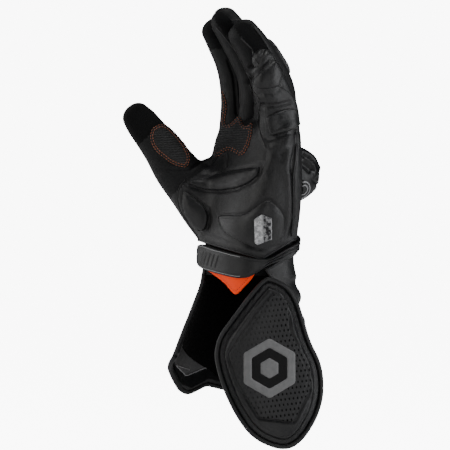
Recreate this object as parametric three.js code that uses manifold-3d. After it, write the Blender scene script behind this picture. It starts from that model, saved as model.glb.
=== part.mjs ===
import * as THREE from 'three';
import { mergeVertices } from 'three/addons/utils/BufferGeometryUtils.js';
import Module from 'manifold-3d';

const wasm = await Module();
wasm.setup();

// A leather road racing glove for the left hand, in millimetres, with a hand's form inside it.
// +Z runs from the wrist to the fingertips, +X is the back of the hand, +Y is the thumb side.
// The origin is the centre of the wrist, where the hand goes in.
const WALL = 2;
const GAP = 0.3;
const LINING = 1.2;
const HAND_SIDES = 18;
const STALL_SIDES = 12;
const BODY_POWER = 2.8;
const STALL_POWER = 2.8;
const TIP_RINGS = 2;
const TIP_LENGTH = 9;
const ROOT_Z = 96;
const FAR = 300;
const MERGE = 1e-4;
const HEM_FLOOR = -60;
const HEM_REACH = 80;

// Pads are drawn on a layout plane that is turned from the palm towards the little finger
const LAYOUT_TURN = THREE.MathUtils.degToRad(32);
const RIGHT = new THREE.Vector3(Math.cos(LAYOUT_TURN), -Math.sin(LAYOUT_TURN), 0);
const OUT = new THREE.Vector3(-Math.sin(LAYOUT_TURN), -Math.cos(LAYOUT_TURN), 0);
const UP = new THREE.Vector3(0, 0, 1);
const BACKWARD = new THREE.Vector3(1, 0, 0);
const THUMBWARD = new THREE.Vector3(0, 1, 0);
const LITTLEWARD = new THREE.Vector3(0, -1, 0);

function table(columns, rows) {
  return rows.map((row) => Object.fromEntries(columns.map((name, i) => [name, row[i]])));
}

// The hand from the wrist to the finger roots, one level section a row
const HAND = table(['z', 'x', 'y', 'depth', 'width'], [
  [-40, 0, 0, 59, 81],
  [-4, 0, 0, 59, 81],
  [12, 0.5, -1.5, 59, 84],
  [30, 1.5, -2.5, 57, 91],
  [48, 3, -2.5, 52, 98],
  [64, 4.5, -2.5, 47, 100],
  [80, 7, -1.5, 41, 99],
  [92, 9, -0.5, 36, 97],
  [99, 10.5, 0, 29, 92],
  [104, 11.5, 0, 16, 84],
]);

// Each finger follows its bent centre line, with its depth from palm to back and its width
const FINGER_COLUMNS = ['x', 'y', 'z', 'depth', 'width'];
const FINGERS = {
  index: table(FINGER_COLUMNS, [
    [9, 33, 78, 28, 22],
    [13, 34.5, 98, 31, 23],
    [15, 36.5, 118, 29, 22.5],
    [13, 37, 137, 28, 22],
    [7.2, 37, 152, 25, 21.5],
    [0, 36.5, 165, 24.5, 21],
    [-7.5, 36, 175.5, 22, 20],
  ]),
  middle: table(FINGER_COLUMNS, [
    [9, 11, 78, 28, 22],
    [15, 11.5, 98, 31, 22.5],
    [17.5, 12.5, 116, 29, 22],
    [16, 12.5, 134, 28, 22],
    [10, 12.5, 149, 27, 21.5],
    [-4, 12.5, 169, 24.5, 21],
    [-15, 12, 181.5, 21, 20],
  ]),
  ring: table(FINGER_COLUMNS, [
    [9, -11, 78, 28, 22],
    [16, -11, 98, 33, 22],
    [18.5, -11, 116, 34, 21.5],
    [16, -11, 130, 32.5, 21.5],
    [7.5, -11, 145, 28.5, 21.5],
    [-3, -11, 160, 26, 21],
    [-12, -11, 170.5, 23, 20],
  ]),
  little: table(FINGER_COLUMNS, [
    [7, -32, 78, 27, 21],
    [7.5, -33.5, 97, 32.5, 21],
    [6.5, -34.5, 108, 31.5, 20.5],
    [1.5, -35, 120, 29, 20],
    [-3.5, -35, 131, 26, 20],
    [-6.5, -34.5, 140.5, 21, 18.5],
    [-8, -34, 147.5, 17, 16.5],
  ]),
};
const ROOT_SPLITS = table(['finger', 'low', 'high'], [
  ['index', 23.6, 70],
  ['middle', 0.4, 23.6],
  ['ring', -22.4, 0.4],
  ['little', -70, -22.4],
]);

// The thumb, with its width across the layout plane and its depth out of it
const THUMB = table(FINGER_COLUMNS, [
  [-8, 13, 4, 32, 36],
  [-13, 20, 20, 35, 41],
  [-20, 28, 34, 35, 41],
  [-28, 37, 49.5, 33, 39],
  [-37, 46, 64.5, 30, 36],
  [-44.5, 53.7, 79.5, 28, 31.5],
  [-52, 60.1, 92, 26, 28],
  [-58, 66.1, 102.4, 24, 26],
  [-61.2, 68.9, 107.5, 21, 23],
]);

// The web of leather from the thumb's root across to the index finger's, its width upright
const WEB = table(FINGER_COLUMNS, [
  [-32, 42, 56, 20, 22],
  [-23, 38.5, 60, 15, 20],
  [-14, 36, 63.5, 16, 20],
  [-2, 34, 67, 22, 22],
]);
const THUMB_CUT = { at: new THREE.Vector3(-30, 39, 53), along: new THREE.Vector3(-0.46, 0.46, 0.76) };
const THUMB_TIP_CUT = { at: new THREE.Vector3(-52.5, 60.5, 90), along: new THREE.Vector3(-0.46, 0.46, 0.76) };
const INDEX_TIP_Z = 160;

// The lower edge of the hand's leather, drawn on the layout plane as a shallow V
const HEM_LINE = [[-HEM_REACH, 18], [-38, 9], [10, -5], [34, 9], [HEM_REACH, 24]];

// The gauntlet, one level section a row
const CUFF = table(['z', 'x', 'y', 'depth', 'width'], [
  [6, 0, -0.5, 59, 82],
  [-8, 0, -0.5, 59, 81],
  [-24, 0.5, 0, 64, 87],
  [-45, -1.5, 1.5, 76, 90],
  [-70, -4, 2.5, 91, 102],
  [-95, -5.5, 3.5, 104, 115],
  [-125, -7, 5, 110, 121],
]);
const CUFF_POWER = 2.5;
const CUFF_TOP = table(['angle', 'z'], [
  [-110, -14],
  [-95, -9],
  [-80, -3],
  [-60, 1],
  [-40, 2],
  [0, -1],
  [50, -9],
  [90, -12],
  [160, -12],
]);
const CUFF_LEVELS = [-24, -45, -70];
const CUFF_ROUND_STEPS = 18;
const BINDING_RADIUS = 2.1;

// Angles run round the wrist from the back of the hand, 0, by the thumb, 90, to the palm, 180
const FRONT_EDGE = { top: 140, bottom: 153 };
const ULNAR_EDGE = { top: -105, bottom: -72 };
const HEM = table(['angle', 'z'], [
  [-110, -98],
  [-40, -108],
  [0, -112],
  [40, -113],
  [70, -109],
  [84, -105.5],
  [92, -109],
  [100, -112.5],
  [108, -109.5],
  [116, -102],
  [125, -95],
  [140, -88],
  [148, -83],
  [154, -78],
]);
const FACING_TOP = table(['angle', 'z'], [
  [50, -103],
  [74, -102],
  [84, -95],
  [108, -84],
  [125, -76],
  [160, -70],
]);
const INNER_GAP = 0.9;
const INNER_MARGIN = 4;
const FACING_FLOOR = -135;
const FACING_REACH = 4;
const FACING_STEPS = 12;
const LINING_TOP = -20;
const EDGE_STEPS = 6;
const EDGE_DROP = 6;
const HEM_START = 3;
const WALL_PAST = 0.6;
const HEM_STEPS = 17;
const BINDING_SIDES = 6;

// The wrist band inside the leather, and the strap round it
const BAND_TOP = 14;
const BAND_BOTTOM = -18;
const STRAP_THICKNESS = 2.6;
const STRAP = table(['angle', 'top', 'bottom'], [
  [130, 5, -8],
  [140, 6, -11],
  [147, 6, -13],
  [160, 5, -14.5],
  [180, 3, -16],
  [205, 1, -18],
  [226, -1.5, -20],
  [238, -3.5, -19.5],
  [247, -4.5, -15.6],
  [259, -5, -10],
  [280, 3, -5],
  [300, 8.5, 0],
  [320, 13.5, 5],
  [350, 14.5, 4.5],
  [400, 12, 0],
]);
const STRAP_STEP = 11;

// The closure flap hangs in front of the open side of the gauntlet, bent round its long axis
const FLAP_OUTLINE = [
  [16.5, -18], [11, -19.5], [-1.5, -34], [-12.5, -49], [-23.5, -64], [-26.5, -78], [-24, -91],
  [-18.5, -107], [-11, -122.5], [-1.5, -136.5], [8.5, -144.5], [22.5, -150], [33.5, -149.5],
  [43.5, -141.5], [53, -126.5], [57.8, -111], [57.8, -95], [55, -82.5], [47.5, -68], [42, -49],
  [38, -36], [31, -25],
];
const FLAP_PANEL_OUTLINE = [
  [19.5, -31], [30, -37], [31.5, -59], [34.5, -66.5], [42, -77], [48.5, -92], [47.5, -103],
  [34.5, -129], [8, -125.5], [-8.5, -98.5], [-15.5, -78], [-6, -62.5], [8, -43.5],
];
const FLAP = {
  stand: 41,
  flare: 0.1,
  from: -20,
  bendAt: 5,
  bendRadius: 90,
  halfLeather: 1.5,
  bead: 4,
  beadRise: 3.2,
  groove: 3.6,
  padRise: 3.5,
  panelRise: 1.5,
};
const FLAP_GRID = { low: -34, high: 62, across: 7, bottom: -156, top: -12, along: 1 };
const EMBLEM = { x: 16, z: -88, outer: 23, inner: 15.5, core: 8, rise: 0.8, sides: 6 };

// Pads, patches and seams of the hand, as outlines on the layout plane
const PADS = {
  palm_bar_pad: {
    rise: 3.5,
    from: 0,
    outline: [[-49, 54.5], [-32, 59], [-15, 63], [1, 65.5], [7, 65.5], [10, 68], [9, 61], [6, 56.5],
      [1, 52.5], [-8.5, 48.5], [-19.5, 47], [-33.5, 47.5], [-45, 51.5]],
  },
  thenar_pad: {
    rise: 3,
    from: -30,
    palmSide: true,
    outline: [[-51, 49], [-44.5, 45], [-31, 34], [-30, 24], [-33, 15], [-42, 18], [-47.5, 25.5],
      [-51.5, 36.5]],
  },
  slider_pad: {
    rise: 4,
    from: 5,
    outline: [[-22, 29], [-11, 29], [-1, 29.5], [6, 35], [12, 40], [17, 40], [24, 33], [27.5, 27],
      [26.5, 12], [22, 6], [12, 1.5], [6, 2.5], [-5.5, 8.5], [-17, 15], [-21, 22.5]],
  },
  palm_patch: {
    rise: 1.2,
    from: -60,
    palmSide: true,
    finish: 'GRIP',
    outline: [[-20, 129.5], [-15.5, 116], [-18, 100.5], [-15, 100], [-6, 108.5], [-2.5, 96.5],
      [4.5, 103.5], [2.5, 85], [-4.5, 72.5], [-15, 79.5], [-19.5, 77], [-24, 72.5], [-29, 79.5],
      [-36, 90], [-36, 124], [-26, 131]],
  },
  thumb_patch: {
    rise: 1.2,
    from: -22,
    finish: 'GRIP',
    outline: [[-68.5, 101], [-75, 98], [-77, 93], [-77, 87.5], [-75, 82], [-71, 77], [-66.5, 73.5],
      [-61.5, 69.5], [-55.5, 66.5], [-47.5, 65], [-44, 73], [-48, 83.5], [-53.5, 90.5], [-58, 95.5],
      [-62.5, 99.5]],
  },
  little_pad_upper: {
    rise: 2.6,
    from: 24,
    outline: [[3, 132], [18.5, 147.5], [21, 146.5], [26.5, 139], [24, 128.5], [22, 125.5], [7, 124]],
  },
  little_pad_lower: {
    rise: 3,
    from: 20,
    outline: [[13.5, 105.5], [34.5, 113], [38.5, 105.5], [39.5, 95], [27.5, 91], [16.5, 87.5],
      [14, 97.5]],
  },
  side_seam: {
    rise: 1.4,
    from: 0,
    outline: [[36, 84], [38.8, 84], [37.5, 70], [35.8, 57], [36.6, 30], [34.6, 12], [32, 12],
      [33.8, 30], [33, 57], [34.8, 70]],
  },
};
const INSERT_OUTLINE = [[4, 25.5], [10, 29.5], [18, 26.5], [18, 10], [7, 5.5], [4.5, 7]];
const INSERT_RISE = 1.6;
const PALMAR_LIMIT = 9;

// Padded armour over the middle joints of the fingers, on their backs
const KNUCKLE_PADS = table(['finger', 'z', 'height', 'width', 'rise'], [
  ['index', 148, 26, 17, 3],
  ['middle', 154, 26, 17, 2.6],
  ['ring', 152, 28, 17, 2.8],
]);

// The hard guard over the knuckles: level slices from the hand outwards
const GUARD = table(['x', 'y', 'z', 'height', 'width'], [
  [12, -1, 60.5, 49, 86],
  [25.5, -1, 60.5, 48, 84],
  [35, -2, 61, 43, 77],
  [42, -3, 61.5, 34, 66],
  [46, -4, 62, 22, 52],
  [47.5, -4, 62, 10, 34],
]);
const GUARD_POWER = 3.2;
const GUARD_SIDES = 18;
const VENT = { count: 4, pitch: 17, from: -29, width: 4, height: 19, floor: 44, reach: 60, z: 62 };
const BADGE = { x: 24, z: 48, radius: 8.2, rise: 1.2, sides: 16, from: 20 };

// The tongue of leather that hangs below the strap
const TAB_OUTLINE = [[-34, -12], [-34, -14], [-31, -15.5], [-19, -24], [-12.5, -32], [-10, -33],
  [-8, -31.5], [6, -17], [6, -12]];
const TAB_INSET = 2;

const LEATHER = { color: 0x17171a, roughness: 0.5, metalness: 0 };
const SUEDE = { color: 0x0c0c0d, roughness: 0.95, metalness: 0 };
const GRIP = { color: 0x1a1a1b, roughness: 0.8, metalness: 0 };
const RUBBER = { color: 0x101012, roughness: 0.6, metalness: 0 };
const HARD = { color: 0x08080a, roughness: 0.25, metalness: 0 };
const METAL = { color: 0x9a9a9c, roughness: 0.35, metalness: 0.8 };
const ORANGE = { color: 0xff4a12, roughness: 0.55, metalness: 0 };
const GREY = { color: 0x6e6e70, roughness: 0.6, metalness: 0 };
const TEXTILE = { color: 0x0e0e10, roughness: 0.9, metalness: 0 };

// A closed body from its points and triangles, turned so that its faces point out
function closedGeometry(points, faces) {
  let volume = 0;
  for (const [a, b, c] of faces) {
    volume += points[a].dot(new THREE.Vector3().crossVectors(points[b], points[c]));
  }
  const turned = volume < 0 ? faces.map(([a, b, c]) => [a, c, b]) : faces;
  const geometry = new THREE.BufferGeometry().setFromPoints(points);
  geometry.setIndex(turned.flat());
  return geometry;
}

function mergedBare(geometry) {
  const bare = geometry.clone();
  bare.deleteAttribute('normal');
  bare.deleteAttribute('uv');
  return mergeVertices(bare, MERGE);
}

function solidOf(geometry) {
  const merged = mergedBare(geometry);
  const mesh = new wasm.Mesh({
    numProp: 3,
    vertProperties: new Float32Array(merged.getAttribute('position').array),
    triVerts: new Uint32Array(merged.getIndex().array),
  });
  return new wasm.Manifold(mesh);
}

function geometryOf(solid) {
  const mesh = solid.getMesh();
  const geometry = new THREE.BufferGeometry();
  geometry.setAttribute('position', new THREE.BufferAttribute(mesh.vertProperties, 3));
  geometry.setIndex(new THREE.BufferAttribute(mesh.triVerts, 1));
  return geometry;
}

// The one large body of a cut, without the crumbs that a boolean leaves
function largest(solid) {
  const bodies = solid.decompose();
  bodies.sort((a, b) => b.volume() - a.volume());
  return bodies[0];
}

function sectionRadius(angle, halfAcross, halfAlong, power) {
  const across = Math.abs(Math.cos(angle) / halfAcross) ** power;
  const along = Math.abs(Math.sin(angle) / halfAlong) ** power;
  return (across + along) ** (-1 / power);
}

// A section ring about a centre, on two axes
function ringPoints(centre, axisA, axisB, halfA, halfB, sides, power) {
  return Array.from({ length: sides }, (_, i) => {
    const angle = (2 * Math.PI * i) / sides;
    const radius = sectionRadius(angle, halfA, halfB, power);
    return centre.clone()
      .addScaledVector(axisA, radius * Math.cos(angle))
      .addScaledVector(axisB, radius * Math.sin(angle));
  });
}

function centroid(points) {
  const sum = new THREE.Vector3();
  points.forEach((point) => sum.add(point));
  return sum.divideScalar(points.length);
}

// A skin through rings of equal count, closed by a fan at each end
function loft(rings) {
  const sides = rings[0].length;
  const last = rings.length - 1;
  const points = [...rings.flat(), centroid(rings[0]), centroid(rings[last])];
  const startCentre = points.length - 2;
  const endCentre = points.length - 1;
  const faces = [];
  for (let k = 0; k < sides; k += 1) {
    const next = (k + 1) % sides;
    for (let r = 0; r < last; r += 1) {
      const low = r * sides;
      const high = low + sides;
      faces.push([low + k, low + next, high + next], [low + k, high + next, high + k]);
    }
    faces.push([startCentre, next, k], [endCentre, last * sides + k, last * sides + next]);
  }
  return closedGeometry(points, faces);
}

function bodyLoft(rows, grow, power, sides) {
  const rings = rows.map((row) => ringPoints(
    new THREE.Vector3(row.x, row.y, row.z),
    BACKWARD, THUMBWARD, row.depth / 2 + grow, row.width / 2 + grow, sides, power,
  ));
  return solidOf(loft(rings));
}

// A finger: rings square to its centre line, then a round tip
function stallLoft(rows, widthAxis, grow) {
  const centres = rows.map((row) => new THREE.Vector3(row.x, row.y, row.z));
  const rings = [];
  let frame = null;
  rows.forEach((row, i) => {
    const before = centres[Math.max(i - 1, 0)];
    const after = centres[Math.min(i + 1, rows.length - 1)];
    const along = after.clone().sub(before).normalize();
    const side = widthAxis.clone().addScaledVector(along, -widthAxis.dot(along)).normalize();
    const depthAxis = new THREE.Vector3().crossVectors(along, side);
    frame = { along, side, depthAxis, halfDepth: row.depth / 2 + grow, halfWidth: row.width / 2 + grow };
    rings.push(ringPoints(centres[i], depthAxis, side, frame.halfDepth, frame.halfWidth,
      STALL_SIDES, STALL_POWER));
  });
  const end = centres[centres.length - 1];
  for (let k = 1; k <= TIP_RINGS; k += 1) {
    const turn = (Math.PI / 2) * (k / (TIP_RINGS + 0.5));
    const centre = end.clone().addScaledVector(frame.along, (TIP_LENGTH + grow) * Math.sin(turn));
    rings.push(ringPoints(centre, frame.depthAxis, frame.side, frame.halfDepth * Math.cos(turn),
      frame.halfWidth * Math.cos(turn), STALL_SIDES, STALL_POWER));
  }
  return solidOf(loft(rings));
}

function thumbLoft(grow) {
  return stallLoft(THUMB, OUT.clone().cross(THUMB_CUT.along).normalize(), grow);
}

// The whole hand's form, grown outwards or inwards
function handForm(grow) {
  let form = bodyLoft(HAND, grow, BODY_POWER, HAND_SIDES).add(thumbLoft(grow))
    .add(stallLoft(WEB, UP, grow));
  for (const rows of Object.values(FINGERS)) {
    form = form.add(stallLoft(rows, THUMBWARD, grow));
  }
  return form;
}

// A straight bar whose section is an outline on two axes, pushed along a third
function prism(outline, axisA, axisB, axisPush, from, to) {
  const shape = new THREE.Shape(outline.map(([a, b]) => new THREE.Vector2(a, b)));
  const geometry = new THREE.ExtrudeGeometry(shape, { depth: to - from, bevelEnabled: false });
  geometry.translate(0, 0, from);
  const axes = new THREE.Matrix4().makeBasis(axisA, axisB, axisPush);
  geometry.applyMatrix4(axes);
  const bare = mergedBare(geometry);
  const points = [];
  const position = bare.getAttribute('position');
  for (let i = 0; i < position.count; i += 1) {
    points.push(new THREE.Vector3().fromBufferAttribute(position, i));
  }
  const index = Array.from(bare.getIndex().array);
  const faces = [];
  for (let i = 0; i < index.length; i += 3) {
    faces.push(index.slice(i, i + 3));
  }
  return solidOf(closedGeometry(points, faces));
}

function layoutPrism(outline, from, to) {
  return prism(outline, RIGHT, UP, OUT, from, to);
}

function boxSolid(low, high) {
  const size = new THREE.Vector3().subVectors(high, low);
  const geometry = new THREE.BoxGeometry(size.x, size.y, size.z);
  const middle = new THREE.Vector3().addVectors(low, high).multiplyScalar(0.5);
  geometry.translate(middle.x, middle.y, middle.z);
  return solidOf(geometry);
}

// Everything beyond a plane, as a block that is larger than the glove
function beyond(cut, shift) {
  const geometry = new THREE.BoxGeometry(FAR, FAR, FAR);
  geometry.translate(0, 0, FAR / 2);
  const turn = new THREE.Quaternion().setFromUnitVectors(UP, cut.along.clone().normalize());
  geometry.applyQuaternion(turn);
  const at = cut.at.clone().addScaledVector(cut.along.clone().normalize(), shift);
  geometry.translate(at.x, at.y, at.z);
  return solidOf(geometry);
}

// A sheet of even thickness over a grid: place(u, v, h) gives the point at height h
function thickSheet(place, stepsU, stepsV, low, high) {
  const points = [];
  for (const h of [low, high]) {
    for (let i = 0; i <= stepsU; i += 1) {
      for (let j = 0; j <= stepsV; j += 1) {
        points.push(place(i / stepsU, j / stepsV, h));
      }
    }
  }
  const column = stepsV + 1;
  const layer = (stepsU + 1) * column;
  const faces = [];
  const quad = (a, b, c, d) => faces.push([a, b, c], [a, c, d]);
  for (let i = 0; i < stepsU; i += 1) {
    for (let j = 0; j < stepsV; j += 1) {
      const a = i * column + j;
      quad(a, a + 1, a + column + 1, a + column);
      quad(layer + a, layer + a + column, layer + a + column + 1, layer + a + 1);
    }
  }
  for (let i = 0; i < stepsU; i += 1) {
    const start = i * column;
    const end = start + stepsV;
    quad(start, start + column, layer + start + column, layer + start);
    quad(end, layer + end, layer + end + column, end + column);
  }
  for (let j = 0; j < stepsV; j += 1) {
    const far = stepsU * column + j;
    quad(j, layer + j, layer + j + 1, j + 1);
    quad(far, far + 1, layer + far + 1, layer + far);
  }
  return solidOf(closedGeometry(points, faces));
}

function tube(points, radius, sides, steps) {
  const section = Array.from({ length: sides }, (_, i) => {
    const angle = (2 * Math.PI * i) / sides;
    return new THREE.Vector2(radius * Math.cos(angle), radius * Math.sin(angle));
  });
  const geometry = new THREE.ExtrudeGeometry(new THREE.Shape(section), {
    steps,
    extrudePath: new THREE.CatmullRomCurve3(points),
    bevelEnabled: false,
  });
  return solidOf(geometry);
}

function lookUp(rows, key, at) {
  const last = rows.length - 1;
  const falling = rows[0][key] > rows[last][key];
  let i = 0;
  while (i < last - 1 && (falling ? rows[i + 1][key] > at : rows[i + 1][key] < at)) {
    i += 1;
  }
  const span = rows[i + 1][key] - rows[i][key];
  const share = THREE.MathUtils.clamp((at - rows[i][key]) / span, 0, 1);
  const mixed = {};
  for (const name of Object.keys(rows[i])) {
    mixed[name] = THREE.MathUtils.lerp(rows[i][name], rows[i + 1][name], share);
  }
  return mixed;
}

// A point on a level section of the wrist or the gauntlet, at an angle and a height off it
function armPoint(rows, power, angle, z, h) {
  const row = lookUp(rows, 'z', z);
  const turn = THREE.MathUtils.degToRad(angle);
  const radius = sectionRadius(turn, row.depth / 2, row.width / 2, power) + h;
  return new THREE.Vector3(row.x + radius * Math.cos(turn), row.y + radius * Math.sin(turn), z);
}

const cuffPoint = (angle, z, h) => armPoint(CUFF, CUFF_POWER, angle, z, h);
const wristPoint = (angle, z, h) => armPoint(HAND, BODY_POWER, angle, z, h);

const glove = new THREE.Group();

function addPart(name, solid, finish) {
  const mesh = new THREE.Mesh(geometryOf(largest(solid)), new THREE.MeshStandardMaterial(finish));
  mesh.name = name;
  glove.add(mesh);
}

// The leather body: one hollow form, parted at the finger roots, the thumb root and two tips
function addLeatherBody() {
  const shell = handForm(0).subtract(handForm(-WALL));
  const below = HEM_LINE.concat([[HEM_REACH, HEM_FLOOR], [-HEM_REACH, HEM_FLOOR]]);
  const hemmed = shell.subtract(layoutPrism(below, -FAR, FAR));
  const low = new THREE.Vector3(-FAR, 0, 0);
  const high = new THREE.Vector3(FAR, 0, FAR);
  const thumbHalf = thumbLoft(0).intersect(beyond(THUMB_CUT, GAP));
  const thumbRoom = thumbLoft(GAP).intersect(beyond(THUMB_CUT, 0));
  const rootSlab = boxSolid(new THREE.Vector3(-FAR, -FAR, ROOT_Z), new THREE.Vector3(FAR, FAR, FAR));
  const body = hemmed.subtract(thumbRoom);
  addPart('hand_shell', body.subtract(rootSlab), LEATHER);
  for (const split of ROOT_SPLITS) {
    low.set(-FAR, split.low + GAP / 2, ROOT_Z + GAP);
    high.set(FAR, split.high - GAP / 2, FAR);
    const stall = body.intersect(boxSolid(low, high));
    if (split.finger !== 'index') {
      addPart(`${split.finger}_stall`, stall, LEATHER);
      continue;
    }
    const tip = boxSolid(new THREE.Vector3(-FAR, -FAR, INDEX_TIP_Z), high);
    const tipRoom = boxSolid(new THREE.Vector3(-FAR, -FAR, INDEX_TIP_Z - GAP), high);
    addPart('index_stall', stall.subtract(tipRoom), LEATHER);
    addPart('index_tip', stall.intersect(tip), SUEDE);
  }
  const thumb = shell.intersect(thumbHalf);
  addPart('thumb_stall', thumb.subtract(beyond(THUMB_TIP_CUT, -GAP)), LEATHER);
  addPart('thumb_tip', thumb.intersect(beyond(THUMB_TIP_CUT, 0)), SUEDE);
}

// Pads and patches follow the leather at a small gap and are as thick as their rise
function addPads() {
  const seat = handForm(GAP);
  const palmar = boxSolid(new THREE.Vector3(-FAR, -FAR, -FAR), new THREE.Vector3(PALMAR_LIMIT, FAR, FAR));
  for (const [name, pad] of Object.entries(PADS)) {
    let solid = handForm(GAP + pad.rise).subtract(seat).intersect(layoutPrism(pad.outline, pad.from, FAR));
    if (pad.palmSide) {
      solid = solid.intersect(palmar);
    }
    addPart(name, solid, pad.finish === 'GRIP' ? GRIP : LEATHER);
  }
  const insertSeat = handForm(2 * GAP + PADS.slider_pad.rise);
  const insertTop = handForm(2 * GAP + PADS.slider_pad.rise + INSERT_RISE);
  const insertBar = layoutPrism(INSERT_OUTLINE, PADS.slider_pad.from, FAR);
  addPart('slider_insert', insertTop.subtract(insertSeat).intersect(insertBar), METAL);
  for (const pad of KNUCKLE_PADS) {
    const centre = lookUp(FINGERS[pad.finger], 'z', pad.z);
    const halfWidth = pad.width / 2;
    const halfHeight = pad.height / 2;
    const cut = halfWidth / 2;
    const outline = [[-cut, -halfHeight], [cut, -halfHeight], [halfWidth, -cut], [halfWidth, cut],
      [cut, halfHeight], [-cut, halfHeight], [-halfWidth, cut], [-halfWidth, -cut]]
      .map(([a, b]) => [centre.y + a, pad.z + b]);
    const bar = prism(outline, THUMBWARD, UP, BACKWARD, centre.x, FAR);
    addPart(`${pad.finger}_pad`, handForm(GAP + pad.rise).subtract(seat).intersect(bar), LEATHER);
  }
}

function guardForm(grow) {
  const rings = GUARD.map((row) => ringPoints(
    new THREE.Vector3(row.x + grow, row.y, row.z),
    THUMBWARD, UP, row.width / 2 + grow, row.height / 2 + grow, GUARD_SIDES, GUARD_POWER,
  ));
  return solidOf(loft(rings));
}

// The moulded knuckle guard with a row of vents, and the round badge on its little finger's side
function addGuard() {
  let guard = guardForm(0).subtract(handForm(GAP));
  for (let i = 0; i < VENT.count; i += 1) {
    const y = VENT.from + i * VENT.pitch;
    guard = guard.subtract(boxSolid(
      new THREE.Vector3(VENT.floor - Math.abs(y) / 10, y - VENT.width / 2, VENT.z - VENT.height / 2),
      new THREE.Vector3(VENT.reach, y + VENT.width / 2, VENT.z + VENT.height / 2),
    ));
  }
  addPart('knuckle_guard', guard, HARD);
  const circle = Array.from({ length: BADGE.sides }, (_, i) => {
    const angle = (2 * Math.PI * i) / BADGE.sides;
    return [BADGE.x + BADGE.radius * Math.cos(angle), BADGE.z + BADGE.radius * Math.sin(angle)];
  });
  const layer = guardForm(GAP + BADGE.rise).subtract(guardForm(GAP)).subtract(handForm(GAP));
  addPart('guard_badge', layer.intersect(prism(circle, BACKWARD, UP, LITTLEWARD, BADGE.from, FAR)), RUBBER);
}

function bandForm(grow, margin) {
  const low = new THREE.Vector3(-FAR, -FAR, BAND_BOTTOM - margin);
  const high = new THREE.Vector3(FAR, FAR, BAND_TOP + margin);
  return bodyLoft(HAND, grow, BODY_POWER, HAND_SIDES).intersect(boxSolid(low, high));
}

// The strap round the wrist, or with a margin the room that it takes
function strapSheet(margin) {
  const first = STRAP[0].angle;
  const span = STRAP[STRAP.length - 1].angle - first;
  return thickSheet((u, v, h) => {
    const angle = first + span * u;
    const row = lookUp(STRAP, 'angle', angle);
    return wristPoint(angle, THREE.MathUtils.lerp(row.bottom - margin, row.top + margin, v), h);
  }, Math.round(span / STRAP_STEP), 2, 2 * GAP - margin, 2 * GAP + STRAP_THICKNESS + margin);
}

// The stretch band tucked inside the wrist, the strap over it and the tongue below the strap
function addWrist() {
  const band = bandForm(-WALL - GAP, 0).subtract(bodyLoft(HAND, -2 * WALL - GAP, BODY_POWER, HAND_SIDES));
  addPart('wrist_band', band, TEXTILE);
  const strap = strapSheet(0).subtract(handForm(GAP)).subtract(heelPadRoom());
  addPart('wrist_strap', strap, RUBBER);
  const tabLayer = bodyLoft(HAND, -GAP, BODY_POWER, HAND_SIDES)
    .subtract(bodyLoft(HAND, -TAB_INSET, BODY_POWER, HAND_SIDES));
  addPart('strap_tab', tabLayer.intersect(layoutPrism(TAB_OUTLINE, 0, FAR)), ORANGE);
}

// The room that the heel pad takes, so that the strap stops short of it
function heelPadRoom() {
  const pad = PADS.slider_pad;
  return handForm(2 * GAP + pad.rise).intersect(layoutPrism(inset(pad.outline, -GAP), pad.from, FAR));
}

// An outline moved inwards by a distance, corner by corner
function inset(outline, distance) {
  const points = outline.map(([a, b]) => new THREE.Vector2(a, b));
  const turn = THREE.ShapeUtils.isClockWise(points) ? -1 : 1;
  return points.map((point, i) => {
    const before = points[(i + points.length - 1) % points.length];
    const after = points[(i + 1) % points.length];
    const inEdge = point.clone().sub(before).normalize();
    const outEdge = after.clone().sub(point).normalize();
    const middle = inEdge.clone().add(outEdge).normalize();
    const normal = new THREE.Vector2(-middle.y, middle.x).multiplyScalar(turn);
    const lean = Math.max(Math.abs(normal.dot(new THREE.Vector2(-inEdge.y, inEdge.x))), 0.5);
    const moved = point.clone().addScaledVector(normal, distance / lean);
    return [moved.x, moved.y];
  });
}

function edgeAngles(v) {
  return {
    front: THREE.MathUtils.lerp(FRONT_EDGE.top, FRONT_EDGE.bottom, v),
    ulnar: THREE.MathUtils.lerp(ULNAR_EDGE.top, ULNAR_EDGE.bottom, v),
  };
}

const hemZ = (angle) => lookUp(HEM, 'angle', angle).z;
const topZ = (angle) => lookUp(CUFF_TOP, 'angle', angle).z;

// The height at a share of the way down, with a level row of points at each bend of the profile
function levelAt(share, top, low) {
  const knots = [top, ...CUFF_LEVELS, low];
  const place = share * (knots.length - 1);
  const i = Math.min(Math.floor(place), knots.length - 2);
  return THREE.MathUtils.lerp(knots[i], knots[i + 1], place - i);
}

// A sheet of the gauntlet between two heights, on one grid for every layer of it
function cuffSheet(low, high, top, margin, past) {
  return thickSheet((u, v, h) => {
    const { front, ulnar } = edgeAngles(v);
    const angle = THREE.MathUtils.lerp(front - margin + past, ulnar - past, u);
    return cuffPoint(angle, levelAt(v, top(angle), hemZ(angle) + margin), h);
  }, CUFF_ROUND_STEPS, CUFF_LEVELS.length + 1, low, high);
}

// The room round the inner facing, from below the hem to its upper edge
function facingRoom(margin) {
  const first = FACING_TOP[0].angle;
  const last = FACING_TOP[FACING_TOP.length - 1].angle;
  return thickSheet((u, v, h) => {
    const angle = THREE.MathUtils.lerp(last, first - margin, u);
    const top = lookUp(FACING_TOP, 'angle', angle).z + margin;
    return cuffPoint(angle, THREE.MathUtils.lerp(top, FACING_FLOOR, v), h);
  }, FACING_STEPS, 1, -3 * FACING_REACH, FACING_REACH);
}

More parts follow.
